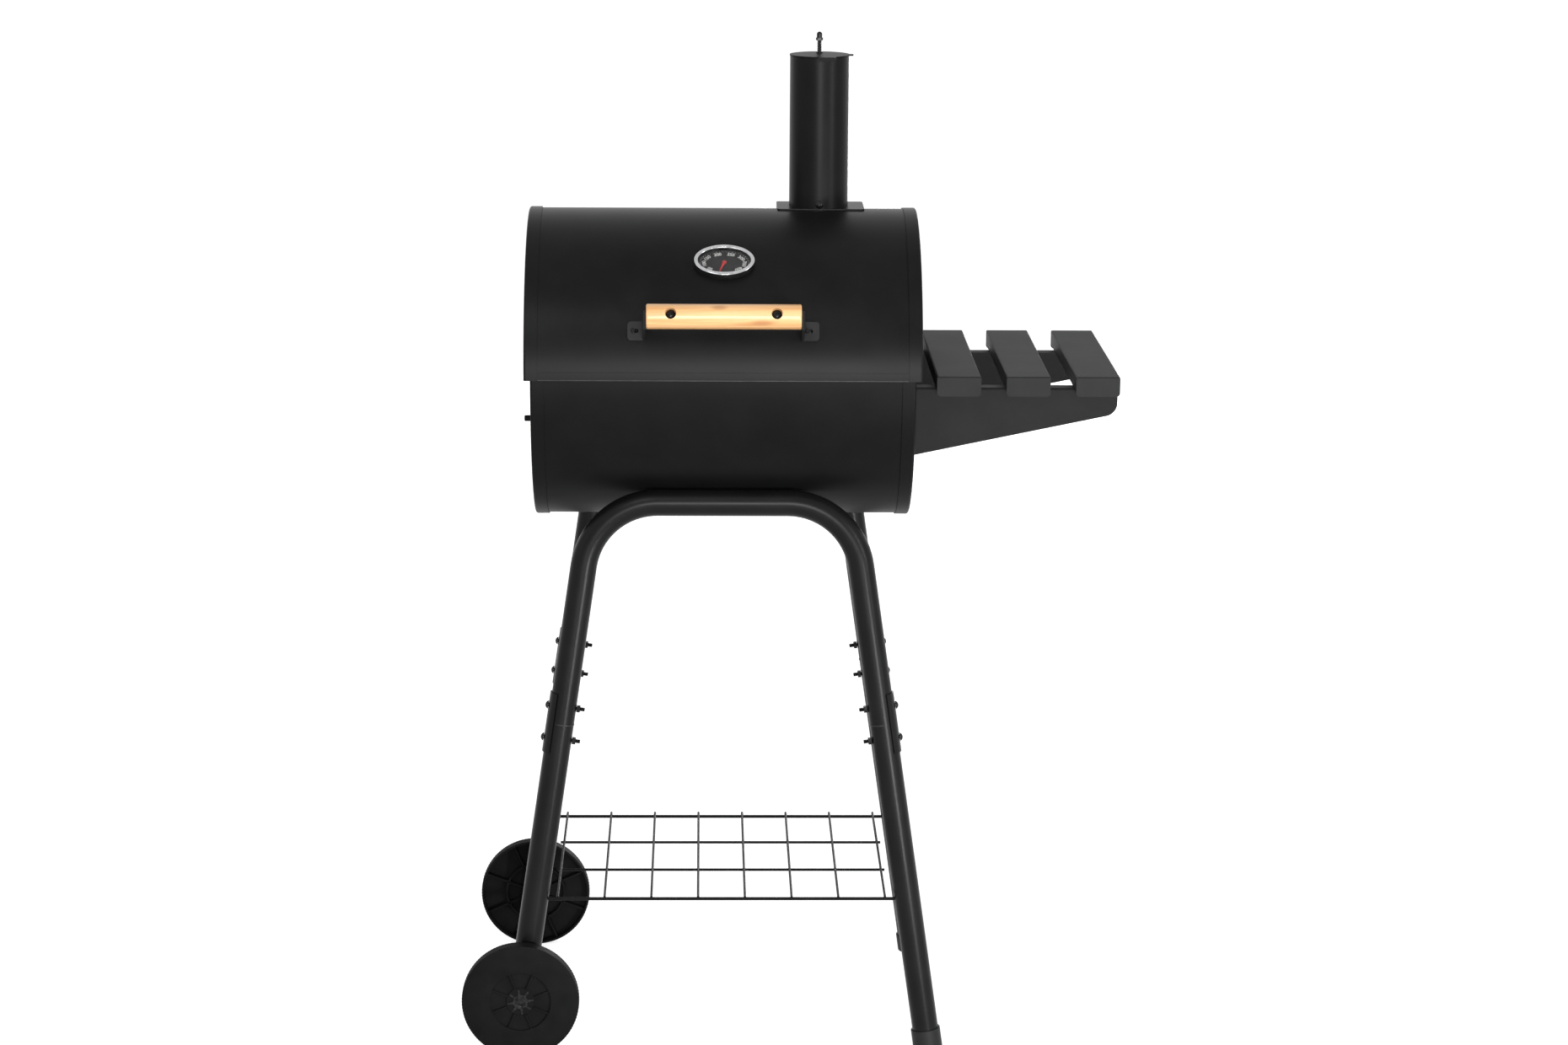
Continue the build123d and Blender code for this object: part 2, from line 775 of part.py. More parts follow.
save(gauge_stem.part, "gauge_stem")

with BuildPart() as gauge_nut:
    with BuildSketch(gauge_plane.offset(-sheet - 2 * seat)):
        RegularPolygon(gauge_nut_flats / 2, 6, major_radius=False)
        Circle(boss_radius + running, mode=Mode.SUBTRACT)
    extrude(amount=-gauge_nut_height)

save(gauge_nut.part, "gauge_nut")

with BuildPart() as gauge_lens:
    with BuildSketch(gauge_plane.offset(case_top)):
        Ellipse(case_long, case_short)
    extrude(amount=lens_thickness)

save(gauge_lens.part, "gauge_lens")

with BuildPart() as gauge_bezel:
    with BuildSketch(gauge_plane.offset(case_top + lens_thickness - bezel_skirt)):
        Ellipse(gauge_length / 2, gauge_width / 2)
    extrude(amount=bezel_skirt + bezel_depth)
    with BuildSketch(gauge_plane.offset(case_top + lens_thickness)):
        Ellipse(case_long + running, case_short + running)
    extrude(amount=-bezel_skirt, mode=Mode.SUBTRACT)
    with BuildSketch(gauge_plane.offset(case_top)):
        Ellipse(gauge_length / 2 - bezel_face, gauge_width / 2 - bezel_face)
    extrude(amount=gauge_height, mode=Mode.SUBTRACT)
    outer_face = gauge_bezel.faces().sort_by(Axis(gauge_plane.origin, gauge_plane.z_dir))[-1]
    fillet(outer_face.edges(), bezel_depth * 0.6)

save(gauge_bezel.part, "gauge_bezel")


# ---- smoke stack -------------------------------------------------------------------------------------------

stack_top = stack_foot + stack_height
stack_level = shifted(level(stack_foot), stack_x, stack_y, 0)
plate_middle_y = stack_plate_depth / 2 - stack_radius + seat
plate_rear = stack_y + plate_middle_y + stack_plate_depth / 2
plate_drop = stack_foot - sqrt(lid_radius**2 - plate_rear**2)

stack_screw_planes = []
for turn in (-90, 30, 150):
    outward = Vector(cos(radians(turn)), sin(radians(turn)), 0)
    spot = stack_level.origin + outward * stack_radius + Vector(0, 0, stack_screw_height)
    stack_screw_planes.append(Plane(origin=spot, x_dir=(0, 0, 1), z_dir=outward))

# A flat plate for the stack stands on the crown of the lid, its lips cut to the lid's curve.
with BuildPart() as stack_base:
    with BuildSketch(shifted(stack_level, stack_plate_offset, plate_middle_y, 0)) as plate:
        Rectangle(stack_plate_length, stack_plate_depth)
        fillet(plate.vertices(), 2 * plate_sheet)
    extrude(amount=-plate_drop)
    with BuildSketch(shifted(stack_level, stack_plate_offset, plate_middle_y, -plate_sheet)) as hollow:
        Rectangle(stack_plate_length - 2 * plate_sheet, stack_plate_depth - 2 * plate_sheet)
        fillet(hollow.vertices(), plate_sheet)
    extrude(amount=-plate_drop, mode=Mode.SUBTRACT)
    with BuildSketch(across(stack_x - stack_plate_length)):
        Circle(lid_radius + seat)
    extrude(amount=2 * stack_plate_length, mode=Mode.SUBTRACT)
    with BuildSketch(stack_level):
        Circle(collar_radius)
    extrude(amount=collar_height)
    with BuildSketch(stack_level.offset(-plate_drop)):
        Circle(collar_radius - collar_wall)
    extrude(amount=plate_drop + collar_height, mode=Mode.SUBTRACT)
    with Locations(*[plane.offset(-stack_wall - collar_wall) for plane in stack_screw_planes]):
        Cylinder(hole_radius, 4 * collar_wall, mode=Mode.SUBTRACT)

save(stack_base.part, "stack_base")

with BuildPart() as stack_tube:
    with BuildSketch(stack_level):
        Circle(stack_radius)
        Circle(stack_bore, mode=Mode.SUBTRACT)
    extrude(amount=stack_height)
    with Locations(*stack_screw_planes):
        Cylinder(hole_radius, 4 * stack_wall, mode=Mode.SUBTRACT)

save(stack_tube.part, "stack_tube")

with BuildPart() as stack_screws:
    for plane in stack_screw_planes:
        with BuildSketch(plane.offset(-stack_wall - 2 * collar_wall)):
            Circle(bolt_radius)
        extrude(amount=stack_wall + 2 * collar_wall + seat)
        add(domed_head(plane.offset(seat), bolt_head_radius, bolt_head_height))

save(stack_screws.part, "stack_screws")


# ---- stack damper ------------------------------------------------------------------------------------------

damper_level = shifted(level(stack_top), stack_x, stack_y, 0)
pivot_level = shifted(damper_level, 0, damper_pivot, 0)

# A strap with turned down ends crosses the stack behind its centre and holds the damper's bolt.
with BuildPart() as damper_strap:
    with BuildSketch(damper_level.offset(-seat)):
        Circle(stack_bore - seat)
        with Locations((0, damper_pivot)):
            Rectangle(2 * stack_radius, damper_strap_width, mode=Mode.INTERSECT)
    extrude(amount=-damper_strap_drop)
    with BuildSketch(damper_level.offset(-seat - plate_sheet)):
        Circle(stack_bore - seat - plate_sheet)
    extrude(amount=-damper_strap_drop, mode=Mode.SUBTRACT)
    with Locations(pivot_level):
        Cylinder(damper_bolt_radius + running, 4 * damper_strap_drop, mode=Mode.SUBTRACT)

save(damper_strap.part, "damper_strap")

# The disc swings sideways about the bolt; an ear and a thumb tab stand out from its rim.
with BuildPart() as damper_disc:
    with BuildSketch(damper_level.offset(seat)):
        Circle(damper_radius)
        with Locations((damper_radius, 0)):
            RectangleRounded(2 * damper_ear, 2 * damper_ear, damper_ear / 2)
        with Locations((damper_tab_x, -damper_radius)):
            Rectangle(damper_tab_width, 2 * damper_ear)
        with Locations((0, damper_pivot)):
            Circle(damper_bolt_radius + running, mode=Mode.SUBTRACT)
    extrude(amount=damper_sheet)
    with BuildSketch(shifted(damper_level, damper_tab_x, -damper_radius - damper_ear, seat)):
        Rectangle(damper_tab_width, damper_sheet, align=(Align.CENTER, Align.MIN))
    extrude(amount=-damper_tab_drop)
    tab_ends = damper_disc.edges().filter_by(Axis.Y).group_by(Axis.Z)[0]
    fillet(tab_ends, damper_tab_drop * 0.8)

save(damper_disc.part, "damper_disc")

spring_foot = seat + damper_sheet + seat + damper_washer_thickness
spring_top = spring_foot + damper_spring_length

with BuildPart() as damper_washer:
    with BuildSketch(pivot_level.offset(spring_foot - damper_washer_thickness)):
        Circle(damper_washer_radius)
        Circle(damper_bolt_radius + running, mode=Mode.SUBTRACT)
    extrude(amount=damper_washer_thickness)

save(damper_washer.part, "damper_washer")

with BuildPart() as damper_spring:
    with BuildSketch(pivot_level.offset(spring_foot)):
        Circle(damper_spring_radius)
        Circle(damper_bolt_radius + running, mode=Mode.SUBTRACT)
    extrude(amount=damper_spring_length)

save(damper_spring.part, "damper_spring")

dome_foot = pivot_level.offset(spring_top + acorn_base)
dome_top = acorn_neck + acorn_dome_radius

with BuildPart() as damper_nut:
    with BuildSketch(pivot_level.offset(spring_top)):
        RegularPolygon(acorn_flats / 2, 6, major_radius=False)
    extrude(amount=acorn_base)
    with BuildSketch(Plane(origin=dome_foot.origin, x_dir=(1, 0, 0), z_dir=(0, -1, 0))):
        with BuildLine():
            Polyline((0, dome_top), (0, 0), (acorn_dome_radius, 0), (acorn_dome_radius, acorn_neck))
            RadiusArc((0, dome_top), (acorn_dome_radius, acorn_neck), acorn_dome_radius)
        make_face()
    revolve(axis=Axis(pivot_level.origin, (0, 0, 1)))
    with BuildSketch(pivot_level.offset(spring_top)):
        Circle(damper_bolt_radius + running)
    extrude(amount=acorn_base + acorn_neck, mode=Mode.SUBTRACT)

save(damper_nut.part, "damper_nut")

with BuildPart() as damper_bolt:
    with BuildSketch(pivot_level.offset(-seat - plate_sheet)):
        Circle(damper_bolt_radius)
    extrude(amount=seat + plate_sheet + spring_top + acorn_base + acorn_neck - seat)
    with BuildSketch(pivot_level.offset(-seat - plate_sheet)):
        RegularPolygon(acorn_flats / 2, 6, major_radius=False)
    extrude(amount=-acorn_base)

save(damper_bolt.part, "damper_bolt")


# ---- tube frames -------------------------------------------------------------------------------------------


def leg_plane(side, end, height):
    """Plane square to a leg at a height, z up the leg and x outwards; side and end are -1 or 1."""
    drop = arch_height - height
    centre_x = side * (arch_corner + leg_spread * drop)
    centre_y = end * (arch_offset + leg_rake * drop)
    down = Vector(side * leg_spread, end * leg_rake, -1)
    across_arch = Vector(0, 1, end * leg_rake)
    outward = down.cross(across_arch) * side
    centre = barrel_centre + Vector(centre_x, centre_y, height - barrel_height)
    return Plane(origin=centre, x_dir=outward, z_dir=-down)


def bolt_through(plane, along):
    """Plane of a bolt that crosses a leg, its z axis pointing outwards."""
    return Plane(origin=shifted(plane, 0, 0, along).origin, x_dir=plane.z_dir, z_dir=plane.x_dir)


corners = [(side, end) for end in (-1, 1) for side in (-1, 1)]
joints = [leg_plane(side, end, joint_height) for side, end in corners]
joint_bolt_planes = [bolt_through(joint, way * joint_pitch / 2) for joint in joints for way in (-1, 1)]


def bent_arch(end):
    """A tube bent into a top bar and two splayed legs, down to the joint with the lower legs."""
    drop = arch_height - joint_height
    foot_x = arch_corner + leg_spread * drop
    foot_y = -drop * sqrt(1 + leg_rake**2)
    middle = barrel_centre + Vector(0, end * arch_offset, arch_height - barrel_height)
    with BuildPart() as arch:
        with BuildLine(Plane(origin=middle, x_dir=(1, 0, 0), z_dir=(0, -1, -end * leg_rake))) as path:
            FilletPolyline(
                (-foot_x, foot_y), (-arch_corner, 0), (arch_corner, 0), (foot_x, foot_y), radius=arch_bend
            )
        with BuildSketch(Plane(origin=path.line @ 0, z_dir=path.line % 0)):
            Circle(tube_radius)
            Circle(tube_radius - tube_wall, mode=Mode.SUBTRACT)
        sweep()
        with Locations(*joint_bolt_planes):
            Cylinder(hole_radius, 3 * tube_radius, mode=Mode.SUBTRACT)
        with Locations(*arch_bolt_planes):
            Cylinder(rivet_nut_radius + bolt_clearance, 4 * tube_wall, mode=Mode.SUBTRACT)
    return arch.part


save(bent_arch(-1), "front_arch")
save(bent_arch(1), "rear_arch")

with BuildPart() as arch_bolts:
    for plane in arch_bolt_planes:
        inside = Plane(origin=plane.offset(-sheet - seat).origin, x_dir=plane.x_dir, z_dir=-plane.z_dir)
        add(domed_head(inside, bolt_head_radius, bolt_head_height))
        with BuildSketch(inside):
            Circle(bolt_radius)
        extrude(amount=-sheet - 2 * seat)
        with BuildSketch(plane.offset(seat)):
            Circle(rivet_nut_radius)
        extrude(amount=rivet_nut_length)

save(arch_bolts.part, "arch_bolts")


# ---- lower legs --------------------------------------------------------------------------------------------

axle_plane = Plane(origin=barrel_centre + Vector(-axle_x, 0, wheel_radius - barrel_height), z_dir=(0, 1, 0))
rack_rod_y = arch_offset + leg_rake * (arch_height - rack_height)
rack_rod_x = arch_corner + leg_spread * (arch_height - rack_height)


def lower_leg(side, end, foot):
    """A straight tube from the joint down to a height, both ends cut square."""
    joint = leg_plane(side, end, joint_height)
    sole = leg_plane(side, end, foot)
    with BuildPart() as leg:
        with BuildSketch(joint):
            Circle(tube_radius)
            Circle(tube_radius - tube_wall, mode=Mode.SUBTRACT)
        extrude(amount=-(joint.origin - sole.origin).length)
        with Locations(bolt_through(joint, -joint_pitch / 2)):
            Cylinder(hole_radius, 3 * tube_radius, mode=Mode.SUBTRACT)
        if side < 0:
            with Locations(axle_plane):
                Cylinder(axle_radius + running, 2 * wheel_outer, mode=Mode.SUBTRACT)
        rod_spot = leg_plane(side, end, rack_height).origin
        with Locations(Plane(origin=rod_spot - Vector(side * tube_radius, 0, 0), z_dir=(1, 0, 0))):
            Cylinder(rack_rod_radius + bolt_clearance, tube_radius, mode=Mode.SUBTRACT)
    return leg.part


for end, place in ((-1, "front"), (1, "rear")):
    save(lower_leg(-1, end, leg_end_height), f"leg_{place}_left")
    save(lower_leg(1, end, cap_floor), f"leg_{place}_right")

sleeve_radius = tube_radius - tube_wall - bolt_clearance

with BuildPart() as joint_sleeves:
    for joint in joints:
        with BuildSketch(joint):
            Circle(sleeve_radius)
            Circle(sleeve_radius - sleeve_wall, mode=Mode.SUBTRACT)
        extrude(amount=plate_length / 2, both=True)
    with Locations(*joint_bolt_planes):
        Cylinder(hole_radius, 3 * tube_radius, mode=Mode.SUBTRACT)

save(joint_sleeves.part, "joint_sleeves")

# Curved splints lie against the outside of the tubes over each joint.
with BuildPart() as joint_plates:
    for joint in joints:
        with BuildSketch(joint):
            Circle(tube_radius + seat + splint_wall)
            Circle(tube_radius + seat, mode=Mode.SUBTRACT)
            with Locations((splint_cover + tube_radius, 0)):
                Rectangle(2 * tube_radius, 3 * tube_radius, mode=Mode.INTERSECT)
        extrude(amount=plate_length / 2, both=True)
    with Locations(*[plane.offset(tube_radius) for plane in joint_bolt_planes]):
        Cylinder(hole_radius, tube_radius, mode=Mode.SUBTRACT)

save(joint_plates.part, "joint_plates")

with BuildPart() as joint_bolts:
    head_seat = tube_radius + seat + splint_wall + seat
    for plane in joint_bolt_planes:
        inner_end = tube_radius + seat + nut_height + thread_end
        with BuildSketch(plane.offset(-inner_end)):
            Circle(bolt_radius)
        extrude(amount=inner_end + head_seat)
        add(domed_head(plane.offset(head_seat), bolt_head_radius, bolt_head_height))

save(joint_bolts.part, "joint_bolts")

with BuildPart() as joint_nuts:
    for plane in joint_bolt_planes:
        nut_foot = plane.offset(-tube_radius - seat - nut_height)
        add(hexagon_nut(nut_foot, nut_flats, nut_height, bolt_radius + running))

save(joint_nuts.part, "joint_nuts")


def foot_cap(end):
    """A plastic cup round the end of a right leg, its sole cut level with the floor."""
    top = leg_plane(1, end, cap_height)
    seat_plane = leg_plane(1, end, cap_floor)
    with BuildPart() as cap:
        with BuildSketch(top):
            Circle(cap_radius)
        extrude(amount=-2 * cap_height)
        split(bisect_by=Plane.XY, keep=Keep.TOP)
        fillet(cap.faces().sort_by(Axis.Z)[-1].edges(), cap_clearance * 4)
        with BuildSketch(top):
            Circle(tube_radius + cap_clearance)
        extrude(amount=-(top.origin - seat_plane.origin).length, mode=Mode.SUBTRACT)
    return cap.part


save(foot_cap(-1), "foot_cap_front")
save(foot_cap(1), "foot_cap_rear")


# ---- wheels and axle ---------------------------------------------------------------------------------------


def moulded_wheel(end):
    """A moulded wheel: a closed face with a ribbed recess, hollow and ribbed behind, on a long hub."""
    middle = axle_plane.origin + Vector(0, end * wheel_outer, 0)
    face = Plane(origin=middle, x_dir=(1, 0, 0), z_dir=(0, end, 0))
    back = face.offset(-tread_width)
    rim_bore = wheel_radius - wheel_rim
    rib_start = axle_radius + wheel_wall
    rib_end = wheel_radius - wheel_rim / 2
    recess_floor = wheel_recess + wheel_wall
    with BuildPart() as wheel:
        with BuildSketch(face):
            Circle(wheel_radius)
        extrude(amount=-tread_width)
        fillet(wheel.edges(), wheel_rim / 2)
        # hollow back, round the drum that walls the recess
        with BuildSketch(back):
            Circle(rim_bore)
            Circle(wheel_recess_radius + wheel_wall, mode=Mode.SUBTRACT)
        extrude(amount=tread_width - wheel_wall, mode=Mode.SUBTRACT)
        # hollow back, inside the drum
        with BuildSketch(back):
            Circle(wheel_recess_radius)
        extrude(amount=tread_width - recess_floor, mode=Mode.SUBTRACT)
        # the drum stands back from the open side
        with BuildSketch(back):
            Circle(rim_bore)
        extrude(amount=tread_width - drum_depth, mode=Mode.SUBTRACT)
        # radial ribs tie the hub, the drum and the tread together
        with BuildSketch(face.offset(-drum_depth)):
            with PolarLocations((rib_start + rib_end) / 2, wheel_ribs, start_angle=rib_turn):
                Rectangle(rib_end - rib_start, wheel_rib_wall)
        extrude(amount=drum_depth - wheel_recess - wheel_wall / 2)
        with BuildSketch(face.offset(-hub_length)):
            Circle(hub_radius)
        extrude(amount=hub_length - wheel_recess)
        # recess in the closed face, with a boss and thin ribs left standing in it
        with BuildSketch(face):
            Circle(wheel_recess_radius)
            Circle(boss_face_radius, mode=Mode.SUBTRACT)
            with PolarLocations(wheel_recess_radius / 2, wheel_ribs, start_angle=rib_turn):
                Rectangle(wheel_recess_radius, recess_rib_wall, mode=Mode.SUBTRACT)
        extrude(amount=-wheel_recess, mode=Mode.SUBTRACT)
        with BuildSketch(face):
            Circle(boss_face_radius)
        extrude(amount=-boss_recess, mode=Mode.SUBTRACT)
        with Locations(axle_plane):
            Cylinder(axle_radius + running, 3 * wheel_outer, mode=Mode.SUBTRACT)
    return wheel.part


save(moulded_wheel(-1), "wheel_front")
save(moulded_wheel(1), "wheel_rear")

with BuildPart() as axle:
    with BuildSketch(axle_plane):
        Circle(axle_radius)
    extrude(amount=wheel_outer - boss_recess + seat, both=True)

save(axle.part, "axle")

with BuildPart() as axle_washers:
    for end in (-1, 1):
        with BuildSketch(axle_plane.offset(end * (wheel_y - seat))):
            Circle(washer_radius)
            Circle(axle_radius + running, mode=Mode.SUBTRACT)
        extrude(amount=-end * washer_thickness)

save(axle_washers.part, "axle_washers")

# Sprung star washers are pushed onto the ends of the axle.
with BuildPart() as push_nuts:
    for end in (-1, 1):
        with BuildSketch(axle_plane.offset(end * (wheel_outer - boss_recess + seat))):
            Circle(push_nut_disc)
            with PolarLocations((push_nut_disc + push_nut_radius) / 2, push_nut_points):
                Rectangle(push_nut_radius - push_nut_disc + push_nut_wall, push_nut_point_width)
        extrude(amount=end * push_nut_wall)

save(push_nuts.part, "push_nuts")


# ---- wire rack ---------------------------------------------------------------------------------------------


def rod(middle, half, radius):
    """A straight round wire that reaches half its length each way from its middle."""
    with BuildPart() as wire:
        with BuildSketch(Plane(origin=middle, z_dir=half)):
            Circle(radius)
        extrude(amount=half.length, both=True)
    return wire.part


rack_centre = barrel_centre + Vector(0, 0, rack_height - barrel_height)
long_half = rack_rod_x - tube_radius - seat + 2 * tube_wall
short_half = cross_wire_span / 2 + cross_wire_overhang
middle_rod_y = rack_rod_y / 3
middle_rod_rise = rack_rod_radius - rack_middle_radius
wire_rise = rack_rod_radius + running + cross_wire_radius
wire_half = rack_rod_y + cross_wire_overhang

# Two long rods end in the legs, two thinner rods lie between them, and cross wires lie on all four.
with BuildPart() as wire_rack:
    for end in (-1, 1):
        outer_middle = rack_centre + Vector(0, end * rack_rod_y, 0)
        inner_middle = rack_centre + Vector(0, end * middle_rod_y, middle_rod_rise)
        add(rod(outer_middle, Vector(long_half, 0, 0), rack_rod_radius))
        add(rod(inner_middle, Vector(short_half, 0, 0), rack_middle_radius))
    for number in range(cross_wire_count):
        wire_x = cross_wire_span * (number / (cross_wire_count - 1) - 0.5)
        add(rod(rack_centre + Vector(wire_x, 0, wire_rise), Vector(0, wire_half, 0), cross_wire_radius))

save(wire_rack.part, "wire_rack")


# ---- side shelf --------------------------------------------------------------------------------------------

shelf_level = level(-shelf_drop)
slat_lefts = [first_slat_x + number * slat_pitch for number in range(slat_count)]
slat_bolt_planes = []
for left in slat_lefts:
    for end in (-1, 1):
        slat_bolt_planes.append(shifted(shelf_level, left + slat_width / 2, end * bracket_bolt_y, 0))


def shelf_bracket(end):
    """A tapered plate with a flange along its top for the slats and one at its root for the barrel."""
    outer = lengthwise(end * bracket_y)
    with BuildPart() as bracket:
        with BuildSketch(outer) as plate:
            with BuildLine():
                Polyline(
                    (body_face, -shelf_drop),
                    (body_face + bracket_length, -shelf_drop),
                    (body_face + bracket_length, -shelf_drop - bracket_tip),
                    (body_face, -shelf_drop - bracket_root),
                    close=True,
                )
            make_face()
            tip = plate.vertices().group_by(Axis.X)[-1].sort_by(Axis.Y)[0]
            fillet(tip, bracket_corner)
        extrude(amount=end * bracket_sheet)
        with BuildSketch(outer):
            with Locations((body_face, -shelf_drop)):
                Rectangle(bracket_length, bracket_sheet, align=(Align.MIN, Align.MAX))
                Rectangle(bracket_sheet, bracket_root, align=(Align.MIN, Align.MAX))
        extrude(amount=end * bracket_flange)
        bend = bracket.edges().filter_by(Axis.X).group_by(Axis.Z)[-1].sort_by(Axis.Y)[0 if end < 0 else -1]
        fillet(bend, bracket_bend)
        with Locations(*bracket_bolt_planes, *slat_bolt_planes):
            Cylinder(hole_radius, 4 * bracket_sheet, mode=Mode.SUBTRACT)
    return bracket.part


save(shelf_bracket(-1), "shelf_bracket_front")
save(shelf_bracket(1), "shelf_bracket_rear")


def shelf_slat(left):
    """A slat folded from sheet: a flat top, two side flanges, and flaps at the front and rear."""
    depth = slat_front + slat_back
    middle_y = (slat_back - slat_front) / 2
    top = shifted(shelf_level, left + slat_width / 2, middle_y, slat_side)
    with BuildPart() as slat:
        with BuildSketch(top):
            Rectangle(slat_width, depth)
        extrude(amount=-slat_side)
        fillet(slat.faces().sort_by(Axis.Z)[-1].edges(), slat_bend)
        with BuildSketch(top.offset(-sheet)):
            Rectangle(slat_width - 2 * sheet, depth - 2 * sheet)
        extrude(amount=-slat_side, mode=Mode.SUBTRACT)
        for end, wall in ((-1, Align.MIN), (1, Align.MAX)):
            with BuildSketch(shifted(top, 0, end * depth / 2, -slat_side)) as flap:
                Rectangle(slat_width, sheet, align=(Align.CENTER, wall))
            extrude(amount=slat_side - slat_flap)
        corners_below = slat.edges().filter_by(Axis.Y).group_by(Axis.Z)[0]
        fillet(corners_below, (slat_flap - slat_side) * 0.8)
        own_bolts = [plane for plane in slat_bolt_planes if abs(plane.origin.X - top.origin.X) < slat_width]
        with Locations(*own_bolts):
            Cylinder(
                hole_radius + boss_wall, slat_side - sheet, align=(Align.CENTER, Align.CENTER, Align.MIN)
            )
            Cylinder(
                hole_radius,
                slat_side - 2 * sheet,
                align=(Align.CENTER, Align.CENTER, Align.MIN),
                mode=Mode.SUBTRACT,
            )
    return slat.part


for number, left in enumerate(slat_lefts, start=1):
    save(shelf_slat(left), f"shelf_slat_{number}")

with BuildPart() as shelf_bolts:
    for plane in slat_bolt_planes:
        below = Plane(origin=plane.offset(-bracket_sheet).origin, x_dir=(1, 0, 0), z_dir=(0, 0, -1))
        with BuildSketch(below):
            Circle(bolt_radius)
        extrude(amount=-bracket_sheet - slat_side / 2)
        add(domed_head(below, bolt_head_radius, bolt_head_height))
    for plane in bracket_bolt_planes:
        with BuildSketch(plane.offset(-sheet - nut_height)):
            Circle(bolt_radius)
        extrude(amount=sheet + nut_height + bracket_sheet)
        add(domed_head(plane.offset(bracket_sheet), bolt_head_radius, bolt_head_height))
        add(hexagon_nut(plane.offset(-sheet - nut_height), nut_flats, nut_height, bolt_radius / 2))

save(shelf_bolts.part, "shelf_bolts")
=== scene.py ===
from math import cos, pi, radians, sin, tau

import bmesh
import bpy
import numpy as np
from mathutils import Matrix, Vector


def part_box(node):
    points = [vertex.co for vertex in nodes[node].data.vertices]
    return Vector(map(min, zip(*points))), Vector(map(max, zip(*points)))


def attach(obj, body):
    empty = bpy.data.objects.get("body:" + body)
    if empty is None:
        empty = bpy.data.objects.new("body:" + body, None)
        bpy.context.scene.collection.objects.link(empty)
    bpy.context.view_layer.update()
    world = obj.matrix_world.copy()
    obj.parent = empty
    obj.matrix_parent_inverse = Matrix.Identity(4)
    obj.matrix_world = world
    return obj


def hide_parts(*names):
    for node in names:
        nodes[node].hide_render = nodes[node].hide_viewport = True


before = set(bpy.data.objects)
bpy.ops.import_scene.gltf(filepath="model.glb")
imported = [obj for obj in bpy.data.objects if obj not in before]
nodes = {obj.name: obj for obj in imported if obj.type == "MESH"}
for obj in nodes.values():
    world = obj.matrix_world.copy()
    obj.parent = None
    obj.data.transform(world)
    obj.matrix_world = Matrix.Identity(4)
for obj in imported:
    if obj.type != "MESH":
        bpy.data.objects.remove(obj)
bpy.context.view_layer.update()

# ---- studio -----------------------------------------------------------------------------------------------
# A plain pale floor, a soft even sky and large soft lamps. The camera looks slightly down on the
# front of the grill from about four metres away.
barrel_foot = Vector((-0.0783693, 0.0179252, 0.0))  # the floor under the barrel's middle
camera_stand_x = -0.024924  # in metres from the barrel's foot, as are the next two values
camera_distance = 4.380997
camera_height = 1.6255
camera_pitch = radians(12.899)
camera_yaw = radians(1.333)
camera_roll = radians(0.42)
focal_pixels = 4293.17
picture_width = 1860
sensor_width = 36  # millimetres


def facing(x_way, y_way, z_way):
    """A turn that lays the x, y and z axes along three ways."""
    return Matrix((x_way, y_way, z_way)).transposed().to_4x4()


camera_data = bpy.data.cameras.new("camera")
camera_data.sensor_width = sensor_width
camera_data.lens = focal_pixels * sensor_width / picture_width
camera = bpy.data.objects.new("camera", camera_data)
bpy.context.scene.collection.objects.link(camera)
forward = Vector(
    (sin(camera_yaw) * cos(camera_pitch), cos(camera_yaw) * cos(camera_pitch), -sin(camera_pitch))
)
level_right = Vector((cos(camera_yaw), -sin(camera_yaw), 0))
level_up = level_right.cross(forward)
right = level_right * cos(camera_roll) + level_up * sin(camera_roll)
up = level_up * cos(camera_roll) - level_right * sin(camera_roll)
camera_spot = barrel_foot + Vector((camera_stand_x, -camera_distance, camera_height))
camera.matrix_world = Matrix.Translation(camera_spot) @ facing(right, up, -forward)
bpy.context.scene.camera = camera


def seen_directly(tree):
    """Light Path's share of rays that show the background: seen, mirrored or through glass."""
    path = tree.nodes.new("ShaderNodeLightPath")
    total = path.outputs["Is Camera Ray"]
    for kind in ("Is Glossy Ray", "Is Transmission Ray"):
        step = tree.nodes.new("ShaderNodeMath")
        step.operation = "MAXIMUM"
        tree.links.new(total, step.inputs[0])
        tree.links.new(path.outputs[kind], step.inputs[1])
        total = step.outputs["Value"]
    return total


def scaled(tree, value, low, high):
    """A value from 0 to 1 spread between two others."""
    spread = tree.nodes.new("ShaderNodeMapRange")
    spread.inputs["To Min"].default_value = low
    spread.inputs["To Max"].default_value = high
    tree.links.new(value, spread.inputs["Value"])
    return spread.outputs["Result"]


sky_light = 0.33  # light that the sky gives; it looks white itself
sky = bpy.data.worlds.new("studio")
sky.use_nodes = True
sky_tree = sky.node_tree
sky_glow = sky_tree.nodes["Background"]
sky_glow.inputs["Color"].default_value = (1, 1, 1, 1)
sky_tree.links.new(scaled(sky_tree, seen_directly(sky_tree), sky_light, 1), sky_glow.inputs["Strength"])
bpy.context.scene.world = sky
bpy.context.scene.view_settings.view_transform = "Standard"

